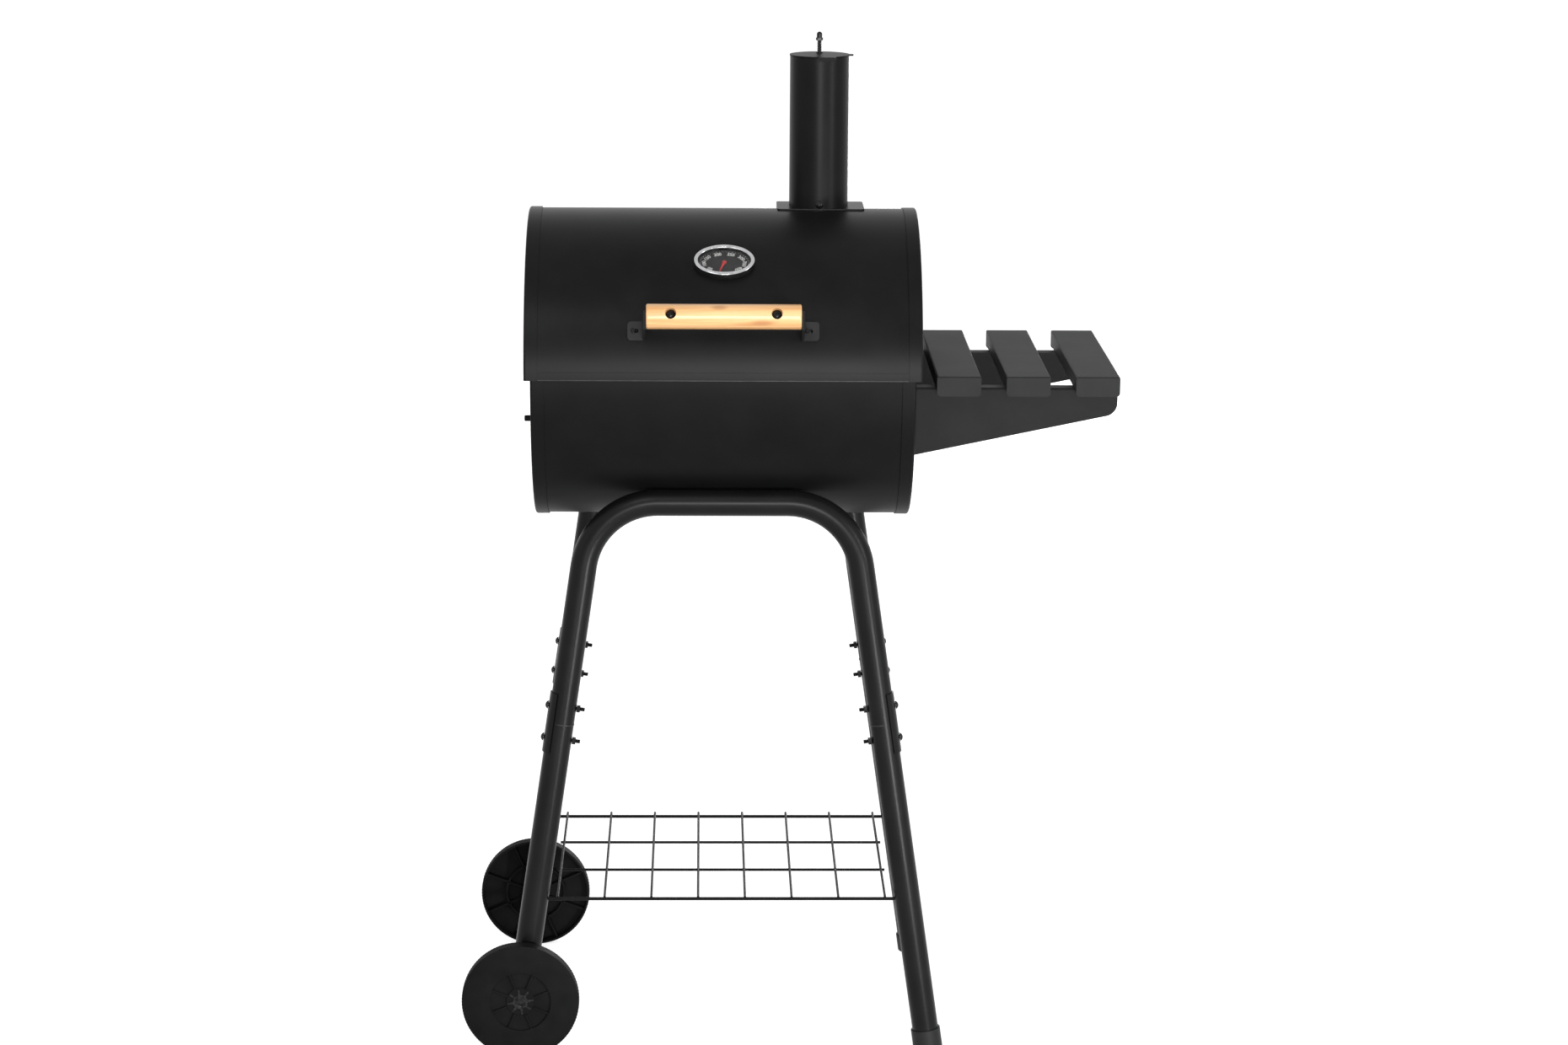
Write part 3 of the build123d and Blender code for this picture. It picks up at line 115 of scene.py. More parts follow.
floor_size = 60
floor_roughness = 0.9
floor_glow = 0.72  # seen, but lighting nothing
floor_seen = 0.86  # how pale the floor looks
floor_bounce = 0.12  # how much light it throws up
bpy.ops.object.select_all(action="DESELECT")
bpy.ops.mesh.primitive_plane_add(size=floor_size)
floor = bpy.context.object
floor.name = "studio_floor"
floor_paint = bpy.data.materials.new("floor_white")
floor_paint.use_nodes = True
floor_tree = floor_paint.node_tree
floor_shader = floor_tree.nodes["Principled BSDF"]
floor_shader.inputs["Roughness"].default_value = floor_roughness
floor_shader.inputs["Emission Color"].default_value = (1, 1, 1, 1)
floor_view = seen_directly(floor_tree)
floor_tone = scaled(floor_tree, floor_view, floor_bounce, floor_seen)
floor_tree.links.new(floor_tone, floor_shader.inputs["Base Color"])
floor_tree.links.new(scaled(floor_tree, floor_view, 0, floor_glow), floor_shader.inputs["Emission Strength"])
floor.data.materials.append(floor_paint)

for lamp_name, stands, aims, width, height, watts in (
    ("front_softbox", (0.2, -5.0, 1.25), (-0.05, 0, 0.8), 1.2, 0.7, 120),
    ("low_softbox", (1.0, -2.0, 0.15), (-0.05, 0, 0.2), 0.12, 0.25, 26),
    ("high_softbox", (-0.9, -2.9, 3.4), (-0.05, 0, 0.8), 0.8, 0.8, 20),
    ("left_softbox", (-4.0, -1.6, 1.8), (-0.05, 0, 0.7), 1.4, 1.6, 6),
    ("right_softbox", (3.4, -2.9, 1.4), (-0.05, 0, 0.7), 0.8, 1.8, 60),
    ("rear_softbox", (0.7, 4.5, 0.60), (-0.05, 0, 0.6), 1.4, 0.4, 25),
    ("rear_left_softbox", (-3.6, 3.4, 1.5), (-0.05, 0, 0.7), 1.0, 1.6, 5),
    ("rear_right_softbox", (3.6, 3.4, 1.5), (-0.05, 0, 0.7), 1.0, 1.6, 5),
):
    lamp_data = bpy.data.lights.new(lamp_name, "AREA")
    lamp_data.shape = "RECTANGLE"
    lamp_data.size = width
    lamp_data.size_y = height
    lamp_data.energy = watts
    lamp = bpy.data.objects.new(lamp_name, lamp_data)
    lamp.visible_camera = False
    lamp.visible_transmission = False
    lamp.location = stands
    lamp.rotation_euler = (Vector(aims) - Vector(stands)).to_track_quat("-Z", "Y").to_euler()
    bpy.context.scene.collection.objects.link(lamp)

# ---- barrel body ------------------------------------------------------------------------------------------
# Rolled sheet steel with pressed ends, sprayed with a satin black heat-proof paint that has a
# faint cloudiness and a very fine orange-peel skin.
black_paint_colour = (0.0044, 0.0044, 0.0045)
black_paint_light = (0.0062, 0.0062, 0.0063)
cloud_detail = 4
grain_detail = 3
cloud_edges = (0.35, 0.68)
skin_strength = 0.6


def finish(name, colour, second, roughness, cloud, grain, depth, metallic=0.0, specular=0.5):
    """A finish clouded between two colours, with uneven gloss and a fine skin.

    The size of its clouds and of its grain and the depth of the skin are in millimetres.
    """
    made = bpy.data.materials.new(name)
    made.use_nodes = True
    tree = made.node_tree
    shader = tree.nodes["Principled BSDF"]
    shader.inputs["Metallic"].default_value = metallic
    shader.inputs["Specular IOR Level"].default_value = specular
    place = tree.nodes.new("ShaderNodeTexCoord").outputs["Object"]
    patterns = []
    for size, detail in ((cloud, cloud_detail), (grain, grain_detail)):
        pattern = tree.nodes.new("ShaderNodeTexNoise")
        pattern.inputs["Scale"].default_value = 1000 / size
        pattern.inputs["Detail"].default_value = detail
        tree.links.new(place, pattern.inputs["Vector"])
        patterns.append(pattern.outputs["Fac"])
    ramp = tree.nodes.new("ShaderNodeValToRGB")
    for stop, edge, shade in zip(ramp.color_ramp.elements, cloud_edges, (colour, second)):
        stop.position = edge
        stop.color = (*shade, 1)
    tree.links.new(patterns[0], ramp.inputs["Fac"])
    tree.links.new(ramp.outputs["Color"], shader.inputs["Base Color"])
    tree.links.new(scaled(tree, patterns[0], *roughness), shader.inputs["Roughness"])
    skin = tree.nodes.new("ShaderNodeBump")
    skin.inputs["Strength"].default_value = skin_strength
    skin.inputs["Distance"].default_value = depth / 1000
    tree.links.new(patterns[1], skin.inputs["Height"])
    tree.links.new(skin.outputs["Normal"], shader.inputs["Normal"])
    return made


def coat(material, *names):
    """Gives a finish to CAD nodes."""
    for name in names:
        nodes[name].data.materials.clear()
        nodes[name].data.materials.append(material)


barrel_paint = finish(
    "satin_black_paint", black_paint_colour, black_paint_light,
    roughness=(0.36, 0.44), cloud=60, grain=0.9, depth=0.03, specular=0.06,
)
coat(barrel_paint, "body_shell", "body_end_left", "body_end_right")

# ---- end vent ---------------------------------------------------------------------------------------------
# A painted sheet disc with three holes and a small knob turns on a zinc-plated rivet. It opens and
# closes the three holes that are drilled in the left end.
zinc_plate = finish(
    "zinc_plate", (0.42, 0.43, 0.44), (0.60, 0.61, 0.62),
    roughness=(0.22, 0.42), cloud=4, grain=0.6, depth=0.02, metallic=1.0,
)
coat(barrel_paint, "vent_disc")
coat(zinc_plate, "vent_rivet")

# ---- grates -----------------------------------------------------------------------------------------------
# Two cast-iron cooking grates with a sandy skin lie side by side on ledges in the body, over a
# charcoal grate of dull bare steel.
cast_iron = finish(
    "cast_iron", (0.016, 0.016, 0.017), (0.032, 0.031, 0.030),
    roughness=(0.55, 0.80), cloud=14, grain=0.8, depth=0.25, specular=0.35,
)
dull_steel = finish(
    "dull_steel", (0.10, 0.10, 0.105), (0.20, 0.195, 0.19),
    roughness=(0.38, 0.60), cloud=22, grain=1.2, depth=0.04, metallic=1.0,
)
coat(cast_iron, "cooking_grate_left", "cooking_grate_right")
coat(dull_steel, "grate_rests", "charcoal_grate")

# ---- lid --------------------------------------------------------------------------------------------------
# Rolled like the body, in a slightly glossier coat of the same black, painted a little lighter than the
# body's: painted light on the lid and painted shade on the body below it. Its front edge is hemmed, and a
# fine bead runs along the fold, painted pale as a painted highlight line.
axis_height = 0.8235
barrel_centre = barrel_foot + Vector((0, 0, axis_height))
hem_bead = 0.0007  # radius of the bead, in metres as are the next three values
hem_face = 0.1904  # outside of the hem from the barrel's axis
hem_edge = 0.012  # lower edge of the hem above the axis
hem_reach = 0.2190  # half the length of the bead
bead_inset = 0.8  # of the bead's radius, behind the hem's face
bead_lift = 0.9  # of the bead's radius, above the hem's edge
# The lid's colours are lighter than the body's black: painted light, with the body as painted shade.
lit_lid_paint = finish(
    "lit_lid_paint", (0.0056, 0.0056, 0.0057), (0.0080, 0.0080, 0.0081),
    roughness=(0.31, 0.38), cloud=60, grain=0.9, depth=0.03, specular=0.076,
)
coat(lit_lid_paint, "lid_shell", "lid_end_left", "lid_end_right")
# A pale paint for the hem bead and the tube seams: a painted highlight line.
painted_highlight_paint = finish(
    "painted_highlight_paint", (0.020, 0.020, 0.020), (0.045, 0.045, 0.045),
    roughness=(0.26, 0.38), cloud=12, grain=0.8, depth=0.02, specular=0.35,
)


def softened(piece, width, segments):
    """Rounds the hard edges of a piece; the width is in metres."""
    rounding = piece.modifiers.new("rounding", "BEVEL")
    rounding.width = width
    rounding.segments = segments
    rounding.limit_method = "ANGLE"
    rounding.angle_limit = radians(60)
    bpy.context.view_layer.objects.active = piece
    bpy.ops.object.modifier_apply(modifier="rounding")
    return piece


def smoothed(piece, angle=32):
    """Shades a piece smooth, with its hard edges left sharp."""
    bpy.ops.object.select_all(action="DESELECT")
    piece.select_set(True)
    bpy.context.view_layer.objects.active = piece
    bpy.ops.object.shade_smooth_by_angle(angle=radians(angle))
    return piece


bpy.ops.object.select_all(action="DESELECT")
bpy.ops.mesh.primitive_cylinder_add(vertices=16, radius=hem_bead, depth=2 * hem_reach, location=(0, 0, 0))
hem = softened(bpy.context.object, hem_bead / 2, 3)
hem.name = "lid_hem_bead"
fold_back = (hem_face**2 - hem_edge**2) ** 0.5 - hem_bead * bead_inset
hem_spot = barrel_centre + Vector((0, -fold_back, hem_edge + hem_bead * bead_lift))
hem.data.transform(Matrix.Translation(hem_spot) @ Matrix.Rotation(pi / 2, 4, "Y"))
smoothed(hem, 50)
hem.data.materials.append(painted_highlight_paint)
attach(hem, "lid")

# ---- lid hinges -------------------------------------------------------------------------------------------
# Painted steel leaves turn on plated pins at the back. One leaf of each hinge is riveted to the lid
# and the other to the body.
coat(barrel_paint, "hinge_body_leaves", "hinge_lid_leaves")
coat(zinc_plate, "hinge_pins")

# ---- lid handle -------------------------------------------------------------------------------------------
# A strap bent from flat bar carries a turned beech grip with a flat behind it. Black pan-head
# screws sit in two bores in the grip and hold the strap's feet to the lid.
screw_head = 4.9  # radius in millimetres, as are the next two values
handle_screw_head = 6.0
screw_shank = 2.5
screw_head_height = 3.6
screw_head_rim = 0.9
dome_steps = 6
recess_span = 1.05  # shares of the head's radius
recess_slot = 0.24
recess_depth = 2.1
recess_taper = 0.45
recess_turn = 0.65  # each screw stands turned by this more than the one before it
thread_pitch = 0.8
thread_depth = 0.35
thread_start = 0.4  # bare shank under the head
thread_end = 0.3  # bare tip
tip_chamfer = 0.5
nut_flats = 8
nut_height = 4.5
nut_face = 0.47  # radius of a nut's flat end, as a share of its width over flats
nut_slope = 0.6  # rise of its chamfer, as a share of the run


def turned(name, profile, steps):
    """A shape turned round the z axis from a line of (radius, height) points in millimetres."""
    bpy.ops.object.select_all(action="DESELECT")
    bpy.ops.mesh.primitive_plane_add(size=0.001, enter_editmode=True, location=(0, 0, 0))
    bpy.ops.mesh.merge(type="CENTER")
    spots = [Vector((radius, 0, height)) / 1000 for radius, height in profile]
    bpy.ops.transform.translate(value=spots[0])
    for near, far in zip(spots, spots[1:]):
        bpy.ops.mesh.extrude_region_move(TRANSFORM_OT_translate={"value": far - near})
    bpy.ops.mesh.select_all(action="SELECT")
    bpy.ops.mesh.spin(steps=steps, angle=tau, center=(0, 0, 0), axis=(0, 0, 1))
    bpy.ops.mesh.select_all(action="SELECT")
    bpy.ops.mesh.remove_doubles(threshold=2e-6)
    bpy.ops.mesh.normals_make_consistent(inside=False)
    bpy.ops.object.mode_set(mode="OBJECT")
    shape = bpy.context.object
    shape.name = name
    return shape


def copied(model, name, seats):
    """One piece of joined copies of a model, a copy at each seat; the model itself is removed."""
    bpy.ops.object.select_all(action="DESELECT")
    for seat in seats:
        twin = bpy.data.objects.new(name, model.data.copy())
        twin.data.transform(seat)
        bpy.context.scene.collection.objects.link(twin)
        twin.select_set(True)
        bpy.context.view_layer.objects.active = twin
    bpy.ops.object.join()
    bpy.data.objects.remove(model)
    return smoothed(bpy.context.object)


def joined(first, *others):
    """Joins shapes into the first of them."""
    bpy.ops.object.select_all(action="DESELECT")
    for shape in (first, *others):
        shape.select_set(True)
    bpy.context.view_layer.objects.active = first
    bpy.ops.object.join()
    return first


def cut(piece, tool, way="DIFFERENCE"):
    """Cuts a piece with a tool shape, or keeps what the two share."""
    boolean = piece.modifiers.new("cut", "BOOLEAN")
    boolean.operation = way
    boolean.solver = "EXACT"
    boolean.object = tool
    bpy.context.view_layer.objects.active = piece
    bpy.ops.object.modifier_apply(modifier="cut")
    bpy.data.objects.remove(tool)
    return piece


def dress(piece, material, body, slot, *replaced):
    """Gives a new piece its finish and its body, and hides the nodes that it stands for."""
    piece.data.materials.clear()
    piece.data.materials.append(material)
    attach(piece, body)
    if replaced:
        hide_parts(*replaced)


def block(size, middle=(0, 0, 0), turn=0.0):
    """A box of a size about a middle, both in millimetres, turned round the z axis."""
    bpy.ops.object.select_all(action="DESELECT")
    bpy.ops.mesh.primitive_cube_add(size=1, location=(0, 0, 0))
    box = bpy.context.object
    box.scale = [side / 1000 for side in size]
    box.location = [place / 1000 for place in middle]
    box.rotation_euler = (0, 0, turn)
    bpy.ops.object.transform_apply()
    return box


def tapered(box, way, shares, shift=(0, 0, 0)):
    """Scales the end of a box that looks along a way, and moves it."""
    bpy.ops.object.mode_set(mode="EDIT")
    bpy.ops.mesh.select_all(action="DESELECT")
    bpy.ops.object.mode_set(mode="OBJECT")
    for face in box.data.polygons:
        face.select = face.normal.dot(Vector(way)) > 0.9
    bpy.ops.object.mode_set(mode="EDIT")
    bpy.ops.transform.resize(value=shares)
    bpy.ops.transform.translate(value=shift)
    bpy.ops.object.mode_set(mode="OBJECT")
    return box


def loose_parts(node):
    """The separate solids of a CAD node, each as an array of its corner points."""
    model = bmesh.new()
    model.from_mesh(nodes[node].data)
    bmesh.ops.remove_doubles(model, verts=model.verts, dist=1e-6)
    reached = set()
    solids = []
    for start in model.verts:
        if start in reached:
            continue
        reached.add(start)
        front = [start]
        solid = []
        while front:
            corner = front.pop()
            solid.append(corner.co.copy())
            for edge in corner.link_edges:
                other = edge.other_vert(corner)
                if other not in reached:
                    reached.add(other)
                    front.append(other)
        solids.append(np.array(solid))
    model.free()
    return solids


def axis_of(spots):
    """The middle of a round solid's corner points, and the way of its axis."""
    middle = spots.mean(axis=0)
    spread, ways = np.linalg.eigh(np.cov((spots - middle).T))
    odd_one = 0 if spread[1] - spread[0] > spread[2] - spread[1] else 2
    return middle, ways[:, odd_one]


def upright(way):
    """A turn that lays the z axis along a way."""
    return Vector(way).to_track_quat("Z", "Y").to_matrix().to_4x4()


def screw_seats(node):
    """For each screw of a CAD node: a matrix at the top of its head, and its length in millimetres."""
    seats = []
    flat = 2e-5  # corners as near as this to an end belong to it
    for number, spots in enumerate(loose_parts(node)):
        middle, way = axis_of(spots)
        along = (spots - middle) @ way
        if (along > along.max() - flat).sum() > (along < along.min() + flat).sum():
            way, along = -way, -along
        head_top = Matrix.Translation(Vector(spots[along.argmax()]))
        seat = head_top @ upright(way) @ Matrix.Rotation(number * recess_turn, 4, "Z")
        seats.append((seat, (along.max() - along.min()) * 1000))
    return seats


def hexagon_nut(name, flats, height):
    """A nut with chamfered corners round the z axis, standing on the origin."""
    corner = flats / 2 / cos(pi / 6)
    bpy.ops.object.select_all(action="DESELECT")
    bpy.ops.mesh.primitive_cylinder_add(
        vertices=6, radius=corner / 1000, depth=height / 1000, location=(0, 0, height / 2000)
    )
    nut = bpy.context.object
    bpy.ops.object.transform_apply()
    nut.name = name
    face = flats * nut_face
    rise = (corner - face) * nut_slope
    low, high = -0.01, height + 0.01
    wide = corner + 0.05
    profile = [(0, low), (face, low), (wide, rise), (wide, height - rise), (face, high), (0, high)]
    return cut(nut, turned("chamfer", profile, 36), "INTERSECT")


def pan_screw(name, head_radius, length, nut_at=None):
    """A pan-head screw with a cross recess and a threaded shank, the top of its head at the origin."""
    rise = screw_head_height - screw_head_rim
    dome = (head_radius**2 + rise**2) / (2 * rise)
    reaches = [head_radius * step / dome_steps for step in range(dome_steps + 1)]
    profile = [(reach, -dome + (dome**2 - reach**2) ** 0.5) for reach in reaches]
    profile += [(head_radius, -screw_head_height), (screw_shank, -screw_head_height)]
    depth = screw_head_height + thread_start
    while depth + thread_pitch < length - thread_end:
        profile += [(screw_shank, -depth), (screw_shank - thread_depth, -depth - thread_pitch / 2)]
        depth += thread_pitch
    profile += [(screw_shank, -depth), (screw_shank - tip_chamfer, -length), (0, -length)]
    screw = turned(name, profile, 32)
    for quarter in (0, 1):
        recess = block(
            (head_radius * recess_span, head_radius * recess_slot, 2 * recess_depth), turn=quarter * pi / 2
        )
        cut(screw, tapered(recess, (0, 0, -1), (recess_taper, recess_taper, 1)))
    if nut_at is not None:
        nut = hexagon_nut("nut", nut_flats, nut_height)
        nut.data.transform(Matrix.Translation((0, 0, -nut_at / 1000)))
        joined(screw, nut)
    return screw


def screws(name, node, head_radius, material, body, slot, nut_from_tip=None):
    """Puts a modelled screw in the place of each screw of a CAD node."""
    by_length = {}
    for seat, length in screw_seats(node):
        by_length.setdefault(round(length, 1), []).append(seat)
    made = []
    for length, seats in by_length.items():
        nut_at = None if nut_from_tip is None else length - nut_from_tip
        made.append(copied(pan_screw("screw", head_radius, length, nut_at), name, seats))
    piece = joined(*made)
    piece.name = name
    dress(piece, material, body, slot, node)


black_oxide = finish(
    "black_oxide", (0.004, 0.004, 0.0042), (0.009, 0.009, 0.0093),
    roughness=(0.20, 0.32), cloud=5, grain=0.5, depth=0.02, specular=0.22,
)
# Lighter than the lid's black: a painted sheen on the strap, along with its real higher gloss.
strap_sheen_paint = finish(
    "strap_sheen_paint", (0.010, 0.010, 0.0101), (0.014, 0.014, 0.0141),
    roughness=(0.34, 0.44), cloud=20, grain=0.7, depth=0.03, specular=0.22,
)
coat(strap_sheen_paint, "handle_strap")
for name, node in (("grip_screws", "handle_grip_screws"), ("foot_screws", "handle_foot_screws")):
    screws(name, node, handle_screw_head, black_oxide, "lid", "black_fastener", nut_from_tip=nut_height)

# Beech, turned, sanded and clear lacquered: long pale grain, short darker flecks and a few brown
# figures, the strongest near the right end.
beech_pale = (0.94, 0.55, 0.24)
beech_deep = (0.70, 0.34, 0.115)
beech_figure = (0.50, 0.21, 0.065)
grain_scales = (6, 160, 160)
grain_edges = (0.30, 0.72)
fleck_scales = (70, 900, 900)
fleck_edges = (0.60, 0.72)
fleck_strength = 0.35
figure_edges = (0, 0.8)
figure_marks = (  # share of the grip's box, reach in metres, and strength
    ((0.75, 0.0, 0.33), (0.022, 0.016, 0.0050), 0.85),
    ((0.66, 0.0, 0.27), (0.030, 0.016, 0.0035), 0.45),
    ((0.47, 0.2, 0.92), (0.014, 0.010, 0.0040), 0.70),
)
beech_specular = 0.4
beech_roughness = (0.34, 0.52)
lacquer = 0.9
lacquer_roughness = 0.32
pore_strength = 0.35
pore_depth = 0.00008
beech = bpy.data.materials.new("lacquered_beech")
beech.use_nodes = True
beech_tree = beech.node_tree
beech_shader = beech_tree.nodes["Principled BSDF"]
beech_shader.inputs["Specular IOR Level"].default_value = beech_specular
beech_shader.inputs["Coat Weight"].default_value = lacquer
beech_shader.inputs["Coat Roughness"].default_value = lacquer_roughness
beech_place = beech_tree.nodes.new("ShaderNodeTexCoord").outputs["Object"]


def wood_noise(scales, detail, twist=0.0):
    """Noise drawn out along the grip, as wood grows."""
    mapping = beech_tree.nodes.new("ShaderNodeMapping")
    mapping.inputs["Scale"].default_value = scales
    beech_tree.links.new(beech_place, mapping.inputs["Vector"])
    pattern = beech_tree.nodes.new("ShaderNodeTexNoise")
    pattern.inputs["Scale"].default_value = 1
    pattern.inputs["Detail"].default_value = detail
    pattern.inputs["Distortion"].default_value = twist
    beech_tree.links.new(mapping.outputs["Vector"], pattern.inputs["Vector"])
    return pattern.outputs["Fac"]


def colour_mix(tree, amount, first, second):
    """Blends two colours, each a socket or a plain value, by a socket."""
    mix = tree.nodes.new("ShaderNodeMix")
    mix.data_type = "RGBA"
    tree.links.new(amount, mix.inputs[0])
    for value, socket in ((first, mix.inputs[6]), (second, mix.inputs[7])):
        if isinstance(value, tuple):
            socket.default_value = (*value, 1)
        else:
            tree.links.new(value, socket)
    return mix.outputs[2]


def stepped(tree, value, low, high):
    """A value rising from 0 at low to 1 at high."""
    step = tree.nodes.new("ShaderNodeMapRange")
    step.interpolation_type = "SMOOTHSTEP"
    step.inputs["From Min"].default_value = low
    step.inputs["From Max"].default_value = high
    tree.links.new(value, step.inputs["Value"])
    return step.outputs["Result"]


grain = wood_noise(grain_scales, 5, 0.4)
flecks = wood_noise(fleck_scales, 2)
beech_colour = colour_mix(beech_tree, stepped(beech_tree, grain, *grain_edges), beech_pale, beech_deep)
grip_spots = np.array([tuple(corner.co) for corner in nodes["handle_grip"].data.vertices])
grip_low, grip_high = grip_spots.min(axis=0), grip_spots.max(axis=0)
for share, reach, strength in figure_marks:
    figure_place = beech_tree.nodes.new("ShaderNodeMapping")
    figure_place.vector_type = "TEXTURE"
    figure_place.inputs["Location"].default_value = grip_low + (grip_high - grip_low) * share
    figure_place.inputs["Scale"].default_value = reach
    beech_tree.links.new(beech_place, figure_place.inputs["Vector"])
    figure = beech_tree.nodes.new("ShaderNodeTexGradient")
    figure.gradient_type = "SPHERICAL"
    beech_tree.links.new(figure_place.outputs["Vector"], figure.inputs["Vector"])
    shade = scaled(beech_tree, stepped(beech_tree, figure.outputs["Fac"], *figure_edges), 0, strength)
    beech_colour = colour_mix(beech_tree, shade, beech_colour, beech_figure)
fleck_shade = scaled(beech_tree, stepped(beech_tree, flecks, *fleck_edges), 0, fleck_strength)
beech_colour = colour_mix(beech_tree, fleck_shade, beech_colour, beech_deep)
beech_tree.links.new(beech_colour, beech_shader.inputs["Base Color"])
beech_tree.links.new(scaled(beech_tree, grain, *beech_roughness), beech_shader.inputs["Roughness"])
beech_skin = beech_tree.nodes.new("ShaderNodeBump")
beech_skin.inputs["Strength"].default_value = pore_strength
beech_skin.inputs["Distance"].default_value = pore_depth
beech_tree.links.new(flecks, beech_skin.inputs["Height"])
beech_tree.links.new(beech_skin.outputs["Normal"], beech_shader.inputs["Normal"])
coat(beech, "handle_grip")

# ---- temperature gauge ------------------------------------------------------------------------------------
# A black case with a chromed bezel over a flat glass. The black dial is printed in white with
# figures and strokes, and a red needle turns on the probe's spindle.
lid_radius = 0.1895
gauge_angle = radians(48)  # above the level
gauge_x = 0.001
dial_face = 0.0038  # above the lid
print_lift = 0.00006
print_thickness = 0.00006
figure_ring = (0.0238, 0.0130)
stroke_ring = (0.0292, 0.0169)
first_figure = 225  # degrees
figure_sweep = 270
figures = ("50", "100", "150", "200", "250", "300", "350", "400")
figure_size = 0.0060
figure_weight = 0.0001
stroke_count = 36
long_every = 5
long_stroke = (1.8, 0.45)  # length and width in millimetres
short_stroke = (1.1, 0.25)
lens_bending = 1.22
gauge_out = Vector((0, -cos(gauge_angle), sin(gauge_angle)))
gauge_up = Vector((0, sin(gauge_angle), cos(gauge_angle)))
gauge_foot = barrel_centre + Vector((gauge_x, 0, 0)) + gauge_out * lid_radius
gauge_seat = Matrix.Translation(gauge_foot) @ facing(Vector((1, 0, 0)), gauge_up, gauge_out)

chrome = finish(
    "chrome", (0.46, 0.46, 0.47), (0.56, 0.56, 0.57),
    roughness=(0.06, 0.14), cloud=8, grain=1.0, depth=0.004, metallic=1.0,
)
gauge_black = finish(
    "gauge_black", (0.006, 0.006, 0.006), (0.010, 0.010, 0.010),
    roughness=(0.35, 0.5), cloud=12, grain=0.8, depth=0.02, specular=0.4,
)
dial_black = finish(
    "dial_black", (0.014, 0.014, 0.014), (0.019, 0.019, 0.019),
    roughness=(0.5, 0.65), cloud=9, grain=0.4, depth=0.006, specular=0.3,
)
dial_white = finish(
    "dial_white", (0.70, 0.70, 0.68), (0.80, 0.80, 0.78),
    roughness=(0.45, 0.6), cloud=2, grain=0.3, depth=0.004,
)
needle_red = finish(
    "needle_red", (0.52, 0.018, 0.018), (0.62, 0.035, 0.03),
    roughness=(0.32, 0.45), cloud=3, grain=0.4, depth=0.004,
)
probe_steel = finish(
    "probe_steel", (0.42, 0.42, 0.42), (0.55, 0.55, 0.54),
    roughness=(0.18, 0.3), cloud=6, grain=0.7, depth=0.01, metallic=1.0,
)
glass = finish(
    "gauge_glass", (0.97, 0.98, 0.98), (1.0, 1.0, 1.0),
    roughness=(0.0, 0.03), cloud=10, grain=2.0, depth=0.0,
)
glass_shader = glass.node_tree.nodes["Principled BSDF"]
glass_shader.inputs["Transmission Weight"].default_value = 1
glass_shader.inputs["IOR"].default_value = lens_bending
coat(gauge_black, "gauge_case")
coat(chrome, "gauge_bezel")
coat(dial_black, "gauge_dial")
coat(needle_red, "gauge_needle")
coat(glass, "gauge_lens")
coat(probe_steel, "gauge_stem")
coat(zinc_plate, "gauge_nut")


def on_dial(ring, angle, outer):
    """Matrix of a print on an oval ring of the dial, with its outer way turned away from the middle."""
    spot = Vector((ring[0] * cos(angle), ring[1] * sin(angle), dial_face + print_lift))
    outward = Vector((ring[1] * cos(angle), ring[0] * sin(angle), 0)).normalized()
    lean = Vector(outer).rotation_difference(outward).to_matrix().to_4x4()
    return gauge_seat @ Matrix.Translation(spot) @ lean


prints = []
for number, words in enumerate(figures):
    angle = radians(first_figure - figure_sweep * number / (len(figures) - 1))
    bpy.ops.object.select_all(action="DESELECT")
    bpy.ops.object.text_add(location=(0, 0, 0))
    words_print = bpy.context.object
    words_print.data.body = words
    words_print.data.size = figure_size
    words_print.data.offset = figure_weight
    words_print.data.align_x = "CENTER"
    words_print.data.align_y = "CENTER"
    words_print.data.extrude = print_thickness / 2
    bpy.ops.object.convert(target="MESH")
    words_print.data.transform(on_dial(figure_ring, angle, (0, 1, 0)))
    prints.append(words_print)
for number in range(stroke_count):
    angle = radians(first_figure - figure_sweep * number / (stroke_count - 1))
    length, width = long_stroke if number % long_every == 0 else short_stroke
    stroke = block((length, width, print_thickness * 1000))
    stroke.data.transform(on_dial(stroke_ring, angle, (1, 0, 0)))
    prints.append(stroke)
dial_print = joined(*prints)
dial_print.name = "dial_print"
dress(dial_print, dial_white, "lid", "dial_black")

needle_heading = radians(248)
needle_reach = 15.0  # in millimetres, as are the next two values
needle_width = 3.0
needle_thickness = 0.35
needle_top = 0.0049  # top of the flat needle above the lid
needle_hub = turned("needle_hub", [(0, 0), (2.6, 0), (2.6, 0.3), (2.2, 0.7), (1.2, 1.0), (0, 1.1)], 32)
needle_blade = block((needle_reach, needle_width, needle_thickness), (needle_reach / 2, 0, 0.18))
tapered(needle_blade, (1, 0, 0), (1, 0.35, 0.7))
needle_blade.data.transform(Matrix.Rotation(needle_heading, 4, "Z"))
needle_hub = smoothed(joined(needle_hub, needle_blade))
needle_hub.name = "needle_hub"
needle_hub.data.transform(gauge_seat @ Matrix.Translation((0, 0, needle_top)))
dress(needle_hub, needle_red, "needle", "needle_red")

# ---- smoke stack ------------------------------------------------------------------------------------------
# A rolled tube stands on a pressed plate and is screwed to the plate's collar. Both are painted the
# barrel's black, with a little more gloss.
stack_paint = finish(
    "stack_paint", black_paint_colour, black_paint_light,
    roughness=(0.30, 0.37), cloud=60, grain=0.9, depth=0.03, specular=0.085,
)
coat(stack_paint, "stack_base", "stack_tube")
screws("collar_screws", "stack_screws", screw_head, black_oxide, "lid", "black_fastener")

